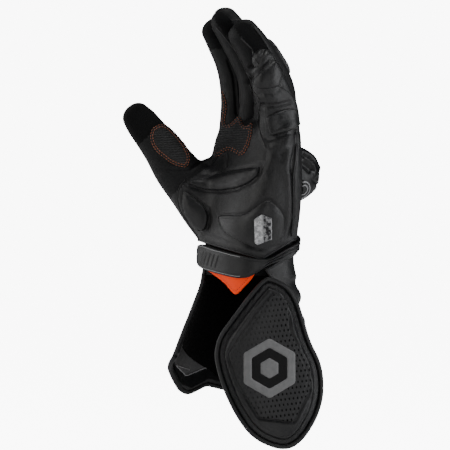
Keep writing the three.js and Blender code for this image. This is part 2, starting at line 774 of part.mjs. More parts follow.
// The open gauntlet: its wall, bound edges, inner facing and loop lining
function addCuff() {
  const edgePath = [];
  const hemPath = [];
  for (let i = 0; i <= EDGE_STEPS; i += 1) {
    const v = i / EDGE_STEPS;
    const { front } = edgeAngles(v);
    const z = levelAt(v, topZ(front) - EDGE_DROP, hemZ(front));
    edgePath.push(cuffPoint(front, z, -WALL / 2));
  }
  const ends = edgeAngles(1);
  for (let i = 0; i <= HEM_STEPS; i += 1) {
    const angle = THREE.MathUtils.lerp(ends.front - HEM_START, ends.ulnar, i / HEM_STEPS);
    hemPath.push(cuffPoint(angle, hemZ(angle), -WALL / 2));
  }
  const edgeRoom = tube(edgePath, BINDING_RADIUS + GAP, BINDING_SIDES, EDGE_STEPS);
  const hemRoom = tube(hemPath, BINDING_RADIUS + GAP, BINDING_SIDES, HEM_STEPS);
  const wristRoom = strapSheet(GAP).add(bandForm(-WALL, GAP));
  const taken = edgeRoom.add(hemRoom).add(wristRoom);
  addPart('cuff_shell', cuffSheet(-WALL, 0, topZ, 0, 0).subtract(taken), LEATHER);
  addPart('cuff_edge_binding', tube(edgePath, BINDING_RADIUS, BINDING_SIDES, EDGE_STEPS)
    .subtract(hemRoom).subtract(wristRoom), RUBBER);
  addPart('cuff_hem_binding', tube(hemPath, BINDING_RADIUS, BINDING_SIDES, HEM_STEPS), RUBBER);
  const innerTop = -WALL - INNER_GAP;
  const inner = cuffSheet(innerTop - LINING, innerTop, () => LINING_TOP, INNER_MARGIN, 0);
  addPart('cuff_facing', inner.intersect(facingRoom(0)), LEATHER);
  addPart('loop_lining', inner.subtract(facingRoom(GAP)), TEXTILE);
}

// A layer of the flap between two heights off its bent mid surface
function flapLayer(outline, low, high) {
  const slab = thickSheet((u, v, h) => {
    const s = THREE.MathUtils.lerp(FLAP_GRID.low, FLAP_GRID.high, u);
    const z = THREE.MathUtils.lerp(FLAP_GRID.bottom, FLAP_GRID.top, v);
    const bend = (s - FLAP.bendAt) ** 2 / (2 * FLAP.bendRadius);
    const stand = FLAP.stand + FLAP.flare * (FLAP.from - z) - bend + h;
    return new THREE.Vector3(0, 0, z).addScaledVector(RIGHT, s).addScaledVector(OUT, stand);
  }, FLAP_GRID.across, FLAP_GRID.along, low, high);
  return slab.intersect(layoutPrism(outline, 0, FAR));
}

function polygon(centre, radius, sides) {
  return Array.from({ length: sides }, (_, i) => {
    const angle = (2 * Math.PI * (i + 0.5)) / sides;
    return [centre.x + radius * Math.cos(angle), centre.z + radius * Math.sin(angle)];
  });
}

// The flap: bound edge, leather, raised pad, perforated panel and a plain six-sided ring on it
function addFlap() {
  const wall = cuffSheet(-WALL - GAP, GAP, topZ, 0, WALL_PAST);
  const leatherTop = FLAP.halfLeather;
  const padLow = leatherTop + GAP;
  const padTop = padLow + FLAP.padRise;
  const panelLow = padTop + GAP;
  const panelTop = panelLow + FLAP.panelRise;
  const emblemLow = panelTop + GAP;
  const beadInner = inset(FLAP_OUTLINE, FLAP.bead);
  const bead = flapLayer(FLAP_OUTLINE, -leatherTop, FLAP.beadRise)
    .subtract(layoutPrism(beadInner, 0, FAR));
  addPart('flap_piping', bead.subtract(wall), RUBBER);
  const leather = flapLayer(inset(FLAP_OUTLINE, FLAP.bead + GAP), -leatherTop, leatherTop);
  addPart('closure_flap', leather.subtract(wall), LEATHER);
  const padOutline = inset(FLAP_OUTLINE, FLAP.bead + FLAP.groove);
  addPart('flap_pad', flapLayer(padOutline, padLow, padTop), LEATHER);
  addPart('flap_panel', flapLayer(FLAP_PANEL_OUTLINE, panelLow, panelTop), RUBBER);
  const ring = flapLayer(polygon(EMBLEM, EMBLEM.outer, EMBLEM.sides), emblemLow, emblemLow + EMBLEM.rise)
    .subtract(layoutPrism(polygon(EMBLEM, EMBLEM.inner, EMBLEM.sides), 0, FAR));
  addPart('flap_emblem_ring', ring, GREY);
  const core = flapLayer(polygon(EMBLEM, EMBLEM.core, EMBLEM.sides), emblemLow, emblemLow + EMBLEM.rise);
  addPart('flap_emblem_core', core, GREY);
}

addLeatherBody();
addPads();
addGuard();
addWrist();
addCuff();
addFlap();

export default glove;
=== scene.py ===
import math

import bpy
import numpy as np
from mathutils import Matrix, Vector
from mathutils.bvhtree import BVHTree
from mathutils.geometry import delaunay_2d_cdt


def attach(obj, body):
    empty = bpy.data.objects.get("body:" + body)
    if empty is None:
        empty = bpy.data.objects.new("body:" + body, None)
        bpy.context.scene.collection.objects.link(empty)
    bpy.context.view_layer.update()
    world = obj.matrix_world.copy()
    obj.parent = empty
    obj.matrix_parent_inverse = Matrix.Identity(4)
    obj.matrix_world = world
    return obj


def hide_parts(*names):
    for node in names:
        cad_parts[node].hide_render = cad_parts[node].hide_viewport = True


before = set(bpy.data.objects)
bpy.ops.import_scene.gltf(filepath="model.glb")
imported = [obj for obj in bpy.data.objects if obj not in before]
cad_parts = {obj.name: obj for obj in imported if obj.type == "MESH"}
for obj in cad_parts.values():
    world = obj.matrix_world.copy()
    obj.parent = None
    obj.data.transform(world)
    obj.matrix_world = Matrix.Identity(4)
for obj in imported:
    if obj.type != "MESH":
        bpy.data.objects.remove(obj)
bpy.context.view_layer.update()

# The studio: a plain pale floor, a white surround and wide soft lamps. The camera looks level at
# the little finger's side of the palm through a long lens. Sizes are in millimetres, turned to
# metres where a mesh or a lamp is made.
MM = 0.001
LAYOUT_TURN = math.radians(32)
RIGHT = np.array([math.cos(LAYOUT_TURN), -math.sin(LAYOUT_TURN), 0.0])
OUT = np.array([-math.sin(LAYOUT_TURN), -math.cos(LAYOUT_TURN), 0.0])
UP = np.array([0.0, 0.0, 1.0])
VIEW_MIDDLE = RIGHT * -17.9 + UP * 21.0
VIEW_WIDTH = 351.0
CAMERA_AWAY = 2200.0
FLOOR_Z = -158.0
FLOOR_REACH = 4000.0
WHITE_SEEN = 9.0
WHITE_FELT = 0.05
FLOOR_FELT = 0.1
SOFTBOXES = [
    # name, right, up, out, width, height, watts, colour
    ("key", -1050, 480, 520, 700, 1100, 4.3, (1.0, 0.99, 0.97)),
    ("behind", -1150, 60, -520, 600, 1200, 4.2, (1.0, 1.0, 1.0)),
    ("bounce", -520, -760, 640, 420, 420, 7.4, (1.0, 1.0, 1.0)),
    ("side", 1050, 260, 250, 500, 1200, 6.2, (0.97, 0.98, 1.0)),
    ("top", 120, 1300, 150, 900, 600, 6.0, (1.0, 1.0, 1.0)),
    ("front", 300, 160, 1500, 900, 900, 3.6, (1.0, 1.0, 1.0)),
]


def in_scene(obj):
    bpy.context.scene.collection.objects.link(obj)
    return obj


def aimed(obj, at, target):
    obj.location = Vector(at * MM)
    way = Vector((target - at).tolist())
    obj.rotation_euler = way.to_track_quat("-Z", "Y").to_euler()
    return in_scene(obj)


lens = bpy.data.cameras.new("long_lens")
lens.sensor_width = 36.0
lens.lens = 36.0 * CAMERA_AWAY / VIEW_WIDTH
lens.clip_start = 0.05
lens.clip_end = 30.0
bpy.context.scene.camera = aimed(
    bpy.data.objects.new("camera", lens), VIEW_MIDDLE + OUT * CAMERA_AWAY, VIEW_MIDDLE)

for name, right, up, out, width, height, watts, colour in SOFTBOXES:
    lamp = bpy.data.lights.new("softbox_" + name, "AREA")
    lamp.shape = "RECTANGLE"
    lamp.size = width * MM
    lamp.size_y = height * MM
    lamp.energy = watts
    lamp.color = colour
    aimed(bpy.data.objects.new("softbox_" + name, lamp),
          VIEW_MIDDLE + RIGHT * right + UP * up + OUT * out, VIEW_MIDDLE)

surround = bpy.data.worlds.new("white_surround")
bpy.context.scene.world = surround
surround.use_nodes = True
sky = surround.node_tree
sky.nodes.clear()
seen = sky.nodes.new("ShaderNodeBackground")
seen.inputs["Color"].default_value = (1.0, 1.0, 1.0, 1.0)
seen.inputs["Strength"].default_value = WHITE_SEEN
felt = sky.nodes.new("ShaderNodeBackground")
felt.inputs["Color"].default_value = (0.9, 0.95, 1.0, 1.0)
felt.inputs["Strength"].default_value = WHITE_FELT
path = sky.nodes.new("ShaderNodeLightPath")
either = sky.nodes.new("ShaderNodeMixShader")
sky_out = sky.nodes.new("ShaderNodeOutputWorld")
sky.links.new(path.outputs["Is Camera Ray"], either.inputs["Fac"])
sky.links.new(felt.outputs["Background"], either.inputs[1])
sky.links.new(seen.outputs["Background"], either.inputs[2])
sky.links.new(either.outputs["Shader"], sky_out.inputs["Surface"])


def mesh_object(name, points, faces, smooth=True):
    mesh = bpy.data.meshes.new(name)
    mesh.from_pydata([tuple(p) for p in np.asarray(points, float) * MM], [], [tuple(f) for f in faces])
    mesh.update()
    if smooth:
        mesh.shade_smooth()
    return in_scene(bpy.data.objects.new(name, mesh))


def principled(name, colour, roughness, metallic=0.0):
    material = bpy.data.materials.new(name)
    material.use_nodes = True
    surface = material.node_tree.nodes["Principled BSDF"]
    surface.inputs["Base Color"].default_value = (*colour, 1.0)
    surface.inputs["Roughness"].default_value = roughness
    surface.inputs["Metallic"].default_value = metallic
    return material, surface


floor = mesh_object("studio_floor", [
    (-FLOOR_REACH, -FLOOR_REACH, FLOOR_Z), (FLOOR_REACH, -FLOOR_REACH, FLOOR_Z),
    (FLOOR_REACH, FLOOR_REACH, FLOOR_Z), (-FLOOR_REACH, FLOOR_REACH, FLOOR_Z),
], [(0, 1, 2, 3)], smooth=False)
pale, pale_surface = principled("pale_floor", (0.93, 0.93, 0.93), 0.9)
pale_surface.inputs["Emission Color"].default_value = (1.0, 1.0, 1.0, 1.0)
seen_ray = pale.node_tree.nodes.new("ShaderNodeLightPath")
glow = pale.node_tree.nodes.new("ShaderNodeMapRange")
glow.inputs["To Min"].default_value = FLOOR_FELT
glow.inputs["To Max"].default_value = WHITE_SEEN
pale.node_tree.links.new(seen_ray.outputs["Is Camera Ray"], glow.inputs["Value"])
pale.node_tree.links.new(glow.outputs["Result"], pale_surface.inputs["Emission Strength"])
floor.data.materials.append(pale)

# The leather hand: one hollow form of thin black cowhide, cut from palm, back and finger pieces
# that are sewn at the finger roots, down the sides of the fingers and round the thumb. It is a
# lining's thickness over the hand that it was filled out by, and open at the wrist.
HAND = [
    # height, across to the back, across to the thumb, depth, width
    (-40, 0, 0, 59, 81), (-4, 0, 0, 59, 81), (12, 0.5, -1.5, 59, 84), (30, 1.5, -2.5, 57, 91),
    (48, 3, -2.5, 52, 98), (64, 4.5, -2.5, 47, 100), (80, 7, -1.5, 41, 99), (92, 9, -0.5, 36, 97),
    (99, 10.5, 0, 29, 92), (104, 11.5, 0, 16, 84),
]
FINGERS = {
    # to the back, to the thumb, height, depth, width
    "index": [(9, 33, 78, 28, 22), (13, 34.5, 98, 31, 23), (15, 36.5, 118, 29, 22.5),
              (13, 37, 137, 28, 22), (7.2, 37, 152, 25, 21.5), (0, 36.5, 165, 24.5, 21),
              (-7.5, 36, 175.5, 22, 20)],
    "middle": [(9, 11, 78, 28, 22), (15, 11.5, 98, 31, 22.5), (17.5, 12.5, 116, 29, 22),
               (16, 12.5, 134, 28, 22), (10, 12.5, 149, 27, 21.5), (-4, 12.5, 169, 24.5, 21),
               (-15, 12, 181.5, 21, 20)],
    "ring": [(9, -11, 78, 28, 22), (16, -11, 98, 33, 22), (18.5, -11, 116, 34, 21.5),
             (16, -11, 130, 32.5, 21.5), (7.5, -11, 145, 28.5, 21.5), (-3, -11, 160, 26, 21),
             (-12, -11, 170.5, 23, 20)],
    "little": [(7, -32, 78, 27, 21), (7.5, -33.5, 97, 32.5, 21), (6.5, -34.5, 108, 31.5, 20.5),
               (1.5, -35, 120, 29, 20), (-3.5, -35, 131, 26, 20), (-6.5, -34.5, 140.5, 21, 18.5),
               (-8, -34, 147.5, 17, 16.5)],
}
THUMB = [
    (-8, 13, 4, 32, 36), (-13, 20, 20, 35, 41), (-20, 28, 34, 35, 41), (-28, 37, 49.5, 33, 39),
    (-37, 46, 64.5, 30, 36), (-44.5, 53.7, 79.5, 28, 31.5), (-52, 60.1, 92, 26, 28),
    (-58, 66.1, 102.4, 24, 26), (-61.2, 68.9, 107.5, 21, 23),
]
# The web of leather from the thumb's root across to the index finger's
WEB = [(-32, 42, 56, 20, 22), (-23, 38.5, 60, 15, 20), (-14, 36, 63.5, 16, 20), (-2, 34, 67, 22, 22)]
THUMB_ALONG = np.array([-0.46, 0.46, 0.76]) / np.linalg.norm([-0.46, 0.46, 0.76])
THUMB_SIDE = np.cross(OUT, THUMB_ALONG)
TIP_LENGTH = 9.0
SECTION_POWER = 2.8
HEM_LINE = [(-80, 18), (-38, 9), (10, -5), (34, 9), (80, 24)]
SKIN_VOXEL = 1.15
INNER_VOXEL = 3.2
WALL = 2.0


def smooth_rows(rows, steps):
    """Rows between the given ones, on a curve that passes through each."""
    rows = np.asarray(rows, float)
    padded = np.vstack([2 * rows[0] - rows[1], rows, 2 * rows[-1] - rows[-2]])
    out = []
    for i in range(len(rows) - 1):
        a, b, c, d = padded[i:i + 4]
        for t in np.arange(steps) / steps:
            out.append(0.5 * (2 * b + (c - a) * t + (2 * a - 5 * b + 4 * c - d) * t * t
                              + (3 * b - a - 3 * c + d) * t ** 3))
    return np.array(out + [rows[-1]])


def section(centre, axis_a, axis_b, half_a, half_b, sides, power=SECTION_POWER):
    turn = np.arange(sides) * 2 * math.pi / sides
    reach = (np.abs(np.cos(turn) / half_a) ** power + np.abs(np.sin(turn) / half_b) ** power) ** (-1 / power)
    return centre + np.outer(reach * np.cos(turn), axis_a) + np.outer(reach * np.sin(turn), axis_b)


def loft(rings):
    """A closed skin through rings of equal count."""
    sides = len(rings[0])
    points = np.vstack([*rings, rings[0].mean(0)[None], rings[-1].mean(0)[None]])
    start, end = len(points) - 2, len(points) - 1
    faces = []
    for r in range(len(rings) - 1):
        low = r * sides
        for k in range(sides):
            n = (k + 1) % sides
            faces.append((low + k, low + n, low + sides + n, low + sides + k))
    last = (len(rings) - 1) * sides
    for k in range(sides):
        n = (k + 1) % sides
        faces.append((start, n, k))
        faces.append((end, last + k, last + n))
    return points, faces


def hand_loft(grow):
    rows = smooth_rows(HAND, 6)
    return loft([section(np.array([x, y, z]), np.array([1.0, 0, 0]), np.array([0, 1.0, 0]),
                         depth / 2 + grow, width / 2 + grow, 72) for z, x, y, depth, width in rows])


def finger_loft(rows, width_axis, grow):
    rows = smooth_rows(rows, 8)
    centres = rows[:, :3]
    rings = []
    for i, row in enumerate(rows):
        along = centres[min(i + 1, len(rows) - 1)] - centres[max(i - 1, 0)]
        along /= np.linalg.norm(along)
        side = width_axis - along * np.dot(width_axis, along)
        side /= np.linalg.norm(side)
        deep = np.cross(along, side)
        rings.append(section(row[:3], deep, side, row[3] / 2 + grow, row[4] / 2 + grow, 40))
    for k in range(1, 8):
        turn = math.pi / 2 * k / 7.4
        centre = centres[-1] + along * (TIP_LENGTH + grow) * math.sin(turn)
        rings.append(section(centre, deep, side, (row[3] / 2 + grow) * math.cos(turn),
                             (row[4] / 2 + grow) * math.cos(turn), 40))
    return loft(rings)


THUMBWARD = np.array([0, 1.0, 0])


def fused(name, lofts, voxel):
    """Lofts joined into one skin of even quads."""
    points, faces, count = [], [], 0
    for p, f in lofts:
        points.append(p)
        faces += [tuple(i + count for i in face) for face in f]
        count += len(p)
    rough = mesh_object(name + "_rough", np.vstack(points), faces)
    even = rough.modifiers.new("fused", "REMESH")
    even.mode = "VOXEL"
    even.voxel_size = voxel * MM
    shaped = rough.evaluated_get(bpy.context.evaluated_depsgraph_get())
    mesh = bpy.data.meshes.new_from_object(shaped)
    bpy.data.objects.remove(rough)
    return mesh


def hand_form(name, grow, voxel):
    lofts = [hand_loft(grow), finger_loft(THUMB, THUMB_SIDE, grow), finger_loft(WEB, UP, grow)]
    return fused(name, lofts + [finger_loft(rows, THUMBWARD, grow) for rows in FINGERS.values()], voxel)


def mesh_arrays(mesh):
    co = np.empty(len(mesh.vertices) * 3)
    mesh.vertices.foreach_get("co", co)
    edges = np.empty(len(mesh.edges) * 2, int)
    mesh.edges.foreach_get("vertices", edges)
    return co.reshape(-1, 3) / MM, edges.reshape(-1, 2)


def relaxed(co, edges, rounds, weight):
    """Each point moves towards the middle of its neighbours, by its own weight."""
    near = edges[(weight > 0.01)[edges].any(1)]
    used, local = np.unique(near, return_inverse=True)
    local = local.reshape(-1, 2)
    ends = np.concatenate([local[:, 0], local[:, 1]])
    others = np.concatenate([local[:, 1], local[:, 0]])
    count = np.bincount(ends, minlength=len(used)).clip(1)[:, None]
    part = co[used]
    share = np.where(weight[used] > 0.01, weight[used], 0)[:, None]
    for _ in range(rounds):
        total = np.stack([np.bincount(ends, part[others, k], len(used)) for k in range(3)], 1)
        part = part + (total / count - part) * share
    co = co.copy()
    co[used] = part
    return co


def hem_height(s):
    return np.interp(s, [p[0] for p in HEM_LINE], [p[1] for p in HEM_LINE])


def trimmed_at_hem(mesh, co):
    """Drops what lies below the hem and draws the new edge onto the line."""
    centre = np.array([np.mean(co[list(face.vertices)], axis=0) for face in mesh.polygons])
    keep = centre[:, 2] > hem_height(centre @ RIGHT)
    faces = [tuple(face.vertices) for face, stays in zip(mesh.polygons, keep) if stays]
    used = np.zeros(len(co), bool)
    used[np.unique([i for face in faces for i in face])] = True
    order = np.cumsum(used) - 1
    sides = {}
    for face in faces:
        for a, b in zip(face, face[1:] + face[:1]):
            sides[(min(a, b), max(a, b))] = sides.get((min(a, b), max(a, b)), 0) + 1
    rim = np.unique([i for pair, n in sides.items() if n == 1 for i in pair])
    co = co.copy()
    co[rim, 2] = hem_height(co[rim] @ RIGHT)
    return co[used], [tuple(order[i] for i in face) for face in faces]


def smoothstep(low, high, value):
    t = np.clip((value - low) / (high - low), 0, 1)
    return t * t * (3 - 2 * t)


def frames_along(rows, width_axis):
    """Centre, direction, side and depth axes and half sizes along a finger."""
    rows = smooth_rows(rows, 8)
    centre = rows[:, :3]
    along = np.gradient(centre, axis=0)
    along /= np.linalg.norm(along, axis=1)[:, None]
    side = width_axis - along * (along @ width_axis)[:, None]
    side /= np.linalg.norm(side, axis=1)[:, None]
    return centre, along, side, np.cross(along, side), rows[:, 3] / 2, rows[:, 4] / 2


def round_finger(co, frames):
    """How far out each point is, and its turn in degrees from the palm, thumb side positive."""
    centre, _, side, deep, half_deep, half_wide = frames
    near = np.argmin(((co[:, None] - centre[None]) ** 2).sum(-1), axis=1)
    off = co - centre[near]
    across = (off * side[near]).sum(1)
    out = (off * deep[near]).sum(1)
    reach = np.sqrt((across / half_wide[near]) ** 2 + (out / half_deep[near]) ** 2)
    return reach, np.degrees(np.arctan2(across, out))


def line_distance(points, line):
    """Distance of flat points to a line of straight runs."""
    line = np.asarray(line, float)
    start, run = line[:-1], np.diff(line, axis=0)
    away = points[:, None] - start[None]
    share = np.clip((away * run).sum(-1) / (run * run).sum(-1).clip(1e-9), 0, 1)
    return np.linalg.norm(away - share[..., None] * run, axis=-1).min(1)


def point_normals(co, faces):
    faces = np.array([f if len(f) == 4 else (*f, f[-1]) for f in faces])
    across = np.cross(co[faces[:, 2]] - co[faces[:, 0]], co[faces[:, 3]] - co[faces[:, 1]])
    total = np.zeros_like(co)
    for k in range(4):
        np.add.at(total, faces[:, k], across)
    return total / np.linalg.norm(total, axis=1)[:, None].clip(1e-9)


def ridge(value, at, width):
    """One along a line and soon nothing beside it."""
    return np.exp(-((value - at) / width) ** 2)


# Foam pads of the palm side and the little finger, each with a pressed line round it
PADS = {
    # outline, height, width of the rounded shoulder, crown, how near the camera it may lie,
    # thin lines pressed in at these distances from the edge
    "palm_bar_pad": ([(-49, 54.5), (-32, 59), (-15, 63), (1, 65.5), (7, 65.5), (10, 68), (9, 61),
                      (6, 56.5), (1, 52.5), (-8.5, 48.5), (-19.5, 47), (-33.5, 47.5), (-45, 51.5)],
                     2.5, 2.6, 0.8, 0, [2.6]),
    "thenar_pad": ([(-51, 49), (-44.5, 45), (-31, 34), (-30, 24), (-33, 15), (-42, 18), (-47.5, 25.5),
                    (-51.5, 36.5)], 2.9, 2.0, 1.0, -30, [2.2]),
    "slider_pad": ([(-22, 29), (-11, 29), (-1, 29.5), (6, 35), (12, 40), (17, 40), (24, 33), (27.5, 27),
                    (26.5, 12), (22, 6), (12, 1.5), (6, 2.5), (-5.5, 8.5), (-17, 15), (-21, 22.5)],
                   3.6, 1.7, 0.7, 5, [2.6]),
    "little_pad_upper": ([(3, 132), (18.5, 147.5), (21, 146.5), (26.5, 139), (24, 128.5), (22, 125.5),
                          (7, 124)], 3.0, 2.0, 1.0, 24, []),
    "little_pad_lower": ([(13.5, 105.5), (34.5, 113), (38.5, 105.5), (39.5, 95), (27.5, 91), (16.5, 87.5),
                          (14, 97.5)], 3.3, 2.0, 1.0, 20, []),
}

# Creases and ridges of the leather, drawn on the palm as the camera sees it: the line, its half
# width and its height, below zero for a crease
CREASES = [
    ([(15, 88), (20, 83), (24, 78), (26, 72)], 2.6, -0.7),
    ([(25.5, 76), (33, 82.5), (38, 92)], 2.6, -0.7),
    ([(19, 84), (27, 81)], 2.2, 0.9),
    ([(9, 118.5), (22, 118.5)], 2.2, 0.5),
    ([(10, 112.5), (16, 112.3), (23.4, 113), (32, 115.4)], 1.6, -1.7),
    ([(1.6, 142), (7, 145), (10, 150.5), (11.7, 156)], 1.5, -1.9),
    ([(0.8, 132.6), (8, 138), (15.6, 145), (18, 147.4)], 1.7, -1.7),
    ([(-15.6, 150), (-11, 138), (-9.4, 122.5), (-8.6, 109)], 0.9, -2.0),
    ([(8, 121.5), (22, 123), (26, 129)], 1.5, -0.6),
    ([(15, 86.5), (28, 89.5), (40, 93.5)], 1.5, -0.7),
    ([(1.5, 131), (4, 123), (9.5, 116), (8, 108), (8.5, 92), (14, 80)], 1.3, 0.5),
    ([(5, 129), (7.5, 123), (12, 116), (10.5, 108), (11, 92), (16.5, 80)], 1.5, -0.6),
    ([(-48.5, 57), (-54, 50.5), (-55.5, 40.5), (-53, 31.5), (-42, 15.5), (-37.5, 8)], 1.2, -0.7),
    ([(-16, 78), (-17, 66)], 0.9, -0.5),
    ([(14, 80), (13, 71), (10, 66)], 1.2, -0.6),
    ([(18, 78), (17, 68), (13, 62)], 2.4, 0.5),
    ([(30, 60), (31.5, 40), (30, 22), (24, 8), (10, 0), (-8, 4), (-24, 9), (-36, 13)], 2.6, 1.1),
    ([(35.5, 106), (38, 96), (37, 84), (33, 69), (34, 55), (35, 26.5), (32, 12)], 1.3, -1.2),
    ([(30.5, 90), (30.5, 75), (28.5, 62)], 3.2, 0.9),
    ([(-79, 70), (-70, 74), (-58, 69)], 1.6, -0.5),
    ([(-74, 60), (-66, 64), (-58, 62)], 1.6, -0.4),
    ([(-61, 64), (-45, 64), (-37.5, 69.5), (-29.5, 76.5)], 1.1, -1.3),
]
for name in ("palm_bar_pad", "thenar_pad", "slider_pad"):
    CREASES.append((PADS[name][0] + PADS[name][0][:1], 1.2, -0.8))
# Black stretch cloth between the fingers: the turn off the palm where it starts, by height
CLOTH_EDGE = {
    "middle": [(115, 88), (128, 76), (140, 58), (150, 44), (160, 38), (178, 22), (188, -5)],
    "ring": [(118, 84), (128, 72), (140, 60), (150, 56), (160, 54), (170, 44), (176, 22), (182, -20)],
    "little": [(104, 20), (150, 20)],
}
CLOTH_TO = {"middle": 92, "ring": 122, "little": 86}
CLOTH_FOOT = 104
THUMB_SIDE_CLOTH = 20
PALM_HOLLOW = [(-26, 4), (-28, 30), (-28, 50), (-25, 62)]
HOLLOW_FROM, HOLLOW_TO = 9, 24
HOLLOW_ROUNDS = 220
SUEDE_INDEX = 160
ROOT_Z = 96
THUMB_START = np.array([-30.0, 39, 53])
SUEDE_THUMB = np.array([-52.5, 60.5, 90])


def cloth_edge(name, z):
    return np.interp(z, [row[0] for row in CLOTH_EDGE[name]], [row[1] for row in CLOTH_EDGE[name]])


skin_mesh = hand_form("skin", 0.0, SKIN_VOXEL)
skin_co, skin_edges = mesh_arrays(skin_mesh)
root_band = smoothstep(84, 96, skin_co[:, 2]) * (1 - smoothstep(106, 116, skin_co[:, 2]))
thumb_root = 1 - smoothstep(14, 40, np.linalg.norm(skin_co - np.array([-30.0, 39, 50]), axis=1))
skin_co = relaxed(skin_co, skin_edges, 2, np.full(len(skin_co), 0.5))
skin_co = relaxed(skin_co, skin_edges, 14, np.clip(0.55 * root_band + 0.5 * thumb_root, 0, 0.55))
hollow_away = line_distance(np.stack([skin_co @ RIGHT, skin_co[:, 2]], 1), PALM_HOLLOW)
palm_hollow = (1 - smoothstep(HOLLOW_FROM, HOLLOW_TO, hollow_away)) * smoothstep(-16, -8, skin_co @ OUT)
skin_co = relaxed(skin_co, skin_edges, HOLLOW_ROUNDS, 0.7 * palm_hollow)
outer_co, outer_faces = trimmed_at_hem(skin_mesh, skin_co)
outward = point_normals(outer_co, outer_faces)
facing = outward @ OUT
flat_place = np.stack([outer_co @ RIGHT, outer_co[:, 2]], 1)

FRAMES = {name: frames_along(rows, THUMBWARD) for name, rows in FINGERS.items()}
FRAMES["thumb"] = frames_along(THUMB, THUMB_SIDE)
reach = {name: round_finger(outer_co, frames) for name, frames in FRAMES.items()}
names = list(FRAMES)
nearest = np.argmin([reach[name][0] for name in names], axis=0)
turn = np.choose(nearest, [reach[name][1] for name in names])
walled = np.zeros(len(outer_co), bool)
for name, little_side in [("middle", True), ("ring", True), ("little", False)]:
    own = (nearest == names.index(name)) & (outer_co[:, 2] > CLOTH_FOOT) & (np.abs(turn) < CLOTH_TO[name])
    edge = cloth_edge(name, outer_co[:, 2])
    walled |= own & ((turn > np.maximum(edge, THUMB_SIDE_CLOTH)) | ((-turn > edge) & little_side))
suede_part = (nearest == names.index("index")) & (outer_co[:, 2] > SUEDE_INDEX)
suede_part |= (nearest == names.index("thumb")) & ((outer_co - SUEDE_THUMB) @ THUMB_ALONG > 0)

rise = np.zeros(len(outer_co))
for line, half_width, height in CREASES:
    low, high = np.min(line, axis=0) - 8, np.max(line, axis=0) + 8
    close = ((flat_place > low) & (flat_place < high)).all(1) & (facing > 0)
    away = line_distance(flat_place[close], line)
    rise[close] += height * ridge(away, 0, half_width) * smoothstep(0, 0.35, facing[close])
rise -= 0.5 * walled
outer_co = outer_co + outward * rise[:, None]

inner_mesh = hand_form("inner", -WALL, INNER_VOXEL)
inner_co, _ = mesh_arrays(inner_mesh)
inner_co, inner_faces = trimmed_at_hem(inner_mesh, inner_co)
shifted = [tuple(i + len(outer_co) for i in reversed(face)) for face in inner_faces]
hand = mesh_object("leather_hand", np.vstack([outer_co, inner_co]), outer_faces + shifted)
SKIN = BVHTree.FromPolygons([Vector(p) for p in outer_co], outer_faces)


class Shader:
    """Nodes of one material or group, made and joined by short calls."""

    def __init__(self, tree):
        self.tree = tree

    def add(self, kind, settings=None, **inputs):
        node = self.tree.nodes.new("ShaderNode" + kind)
        for key, value in (settings or {}).items():
            setattr(node, key, value)
        for key, value in inputs.items():
            self.set(node, key.replace("_", " "), value)
        return node

    def set(self, node, socket, value):
        target = node.inputs[int(socket)] if socket.isdigit() else node.inputs[socket]
        if isinstance(value, bpy.types.NodeSocket):
            self.tree.links.new(value, target)
        else:
            target.default_value = value

    def math(self, operation, *values):
        node = self.add("Math", {"operation": operation})
        for i, value in enumerate(values):
            self.set(node, str(i), value)
        return node.outputs[0]

    def spread(self, value, low, high, to_low, to_high):
        node = self.add("MapRange", {"clamp": True}, Value=value)
        for key, number in (("From Min", low), ("From Max", high), ("To Min", to_low), ("To Max", to_high)):
            node.inputs[key].default_value = number
        return node.outputs["Result"]

    def tinted(self, factor, dark, light):
        node = self.add("Mix", {"data_type": "RGBA"})
        self.set(node, "0", factor)
        node.inputs[6].default_value = (*dark, 1.0)
        node.inputs[7].default_value = (*light, 1.0)
        return node.outputs[2]

    def bumped(self, surface, height, strength, distance):
        bump = self.add("Bump", Height=height, Strength=strength, Distance=distance)
        self.set(surface, "Normal", bump.outputs["Normal"])


def new_group(name, inputs, outputs):
    tree = bpy.data.node_groups.new(name, "ShaderNodeTree")
    for label, kind, value in inputs:
        socket = tree.interface.new_socket(label, in_out="INPUT", socket_type="NodeSocket" + kind)
        socket.default_value = value
    for label, kind in outputs:
        tree.interface.new_socket(label, in_out="OUTPUT", socket_type="NodeSocket" + kind)
    return Shader(tree), tree.nodes.new("NodeGroupInput").outputs, tree.nodes.new("NodeGroupOutput")


# Hide grain: small uneven cells with fine pores between them, and a slow change of tone
grain_kit, given, grain_out = new_group(
    "hide_grain", [("Cells", "Float", 900.0), ("Unevenness", "Float", 0.5)],
    [("Height", "Float"), ("Tone", "Float"), ("Rub", "Float")])
place = grain_kit.add("TexCoord").outputs["Object"]
bend = grain_kit.add("TexNoise", Vector=place, Scale=260.0, Detail=2.0)
shaken = grain_kit.add("VectorMath", {"operation": "MULTIPLY_ADD"})
grain_kit.set(shaken, "0", bend.outputs["Color"])
shaken.inputs[1].default_value = (0.0012, 0.0012, 0.0012)
grain_kit.set(shaken, "2", place)
cells = grain_kit.add("TexVoronoi", {"feature": "DISTANCE_TO_EDGE"}, Vector=shaken.outputs[0],
                      Scale=given["Cells"])
plump = grain_kit.spread(cells.outputs["Distance"], 0.0, 0.28, 0.0, 1.0)
fine = grain_kit.add("TexNoise", Vector=place, Scale=2600.0, Detail=3.0)
height = grain_kit.math("ADD", plump, grain_kit.math("MULTIPLY", fine.outputs["Fac"], given["Unevenness"]))
slow = grain_kit.add("TexNoise", Vector=place, Scale=38.0, Detail=4.0, Roughness=0.6)
rub = grain_kit.add("TexNoise", Vector=place, Scale=120.0, Detail=5.0, Roughness=0.7)
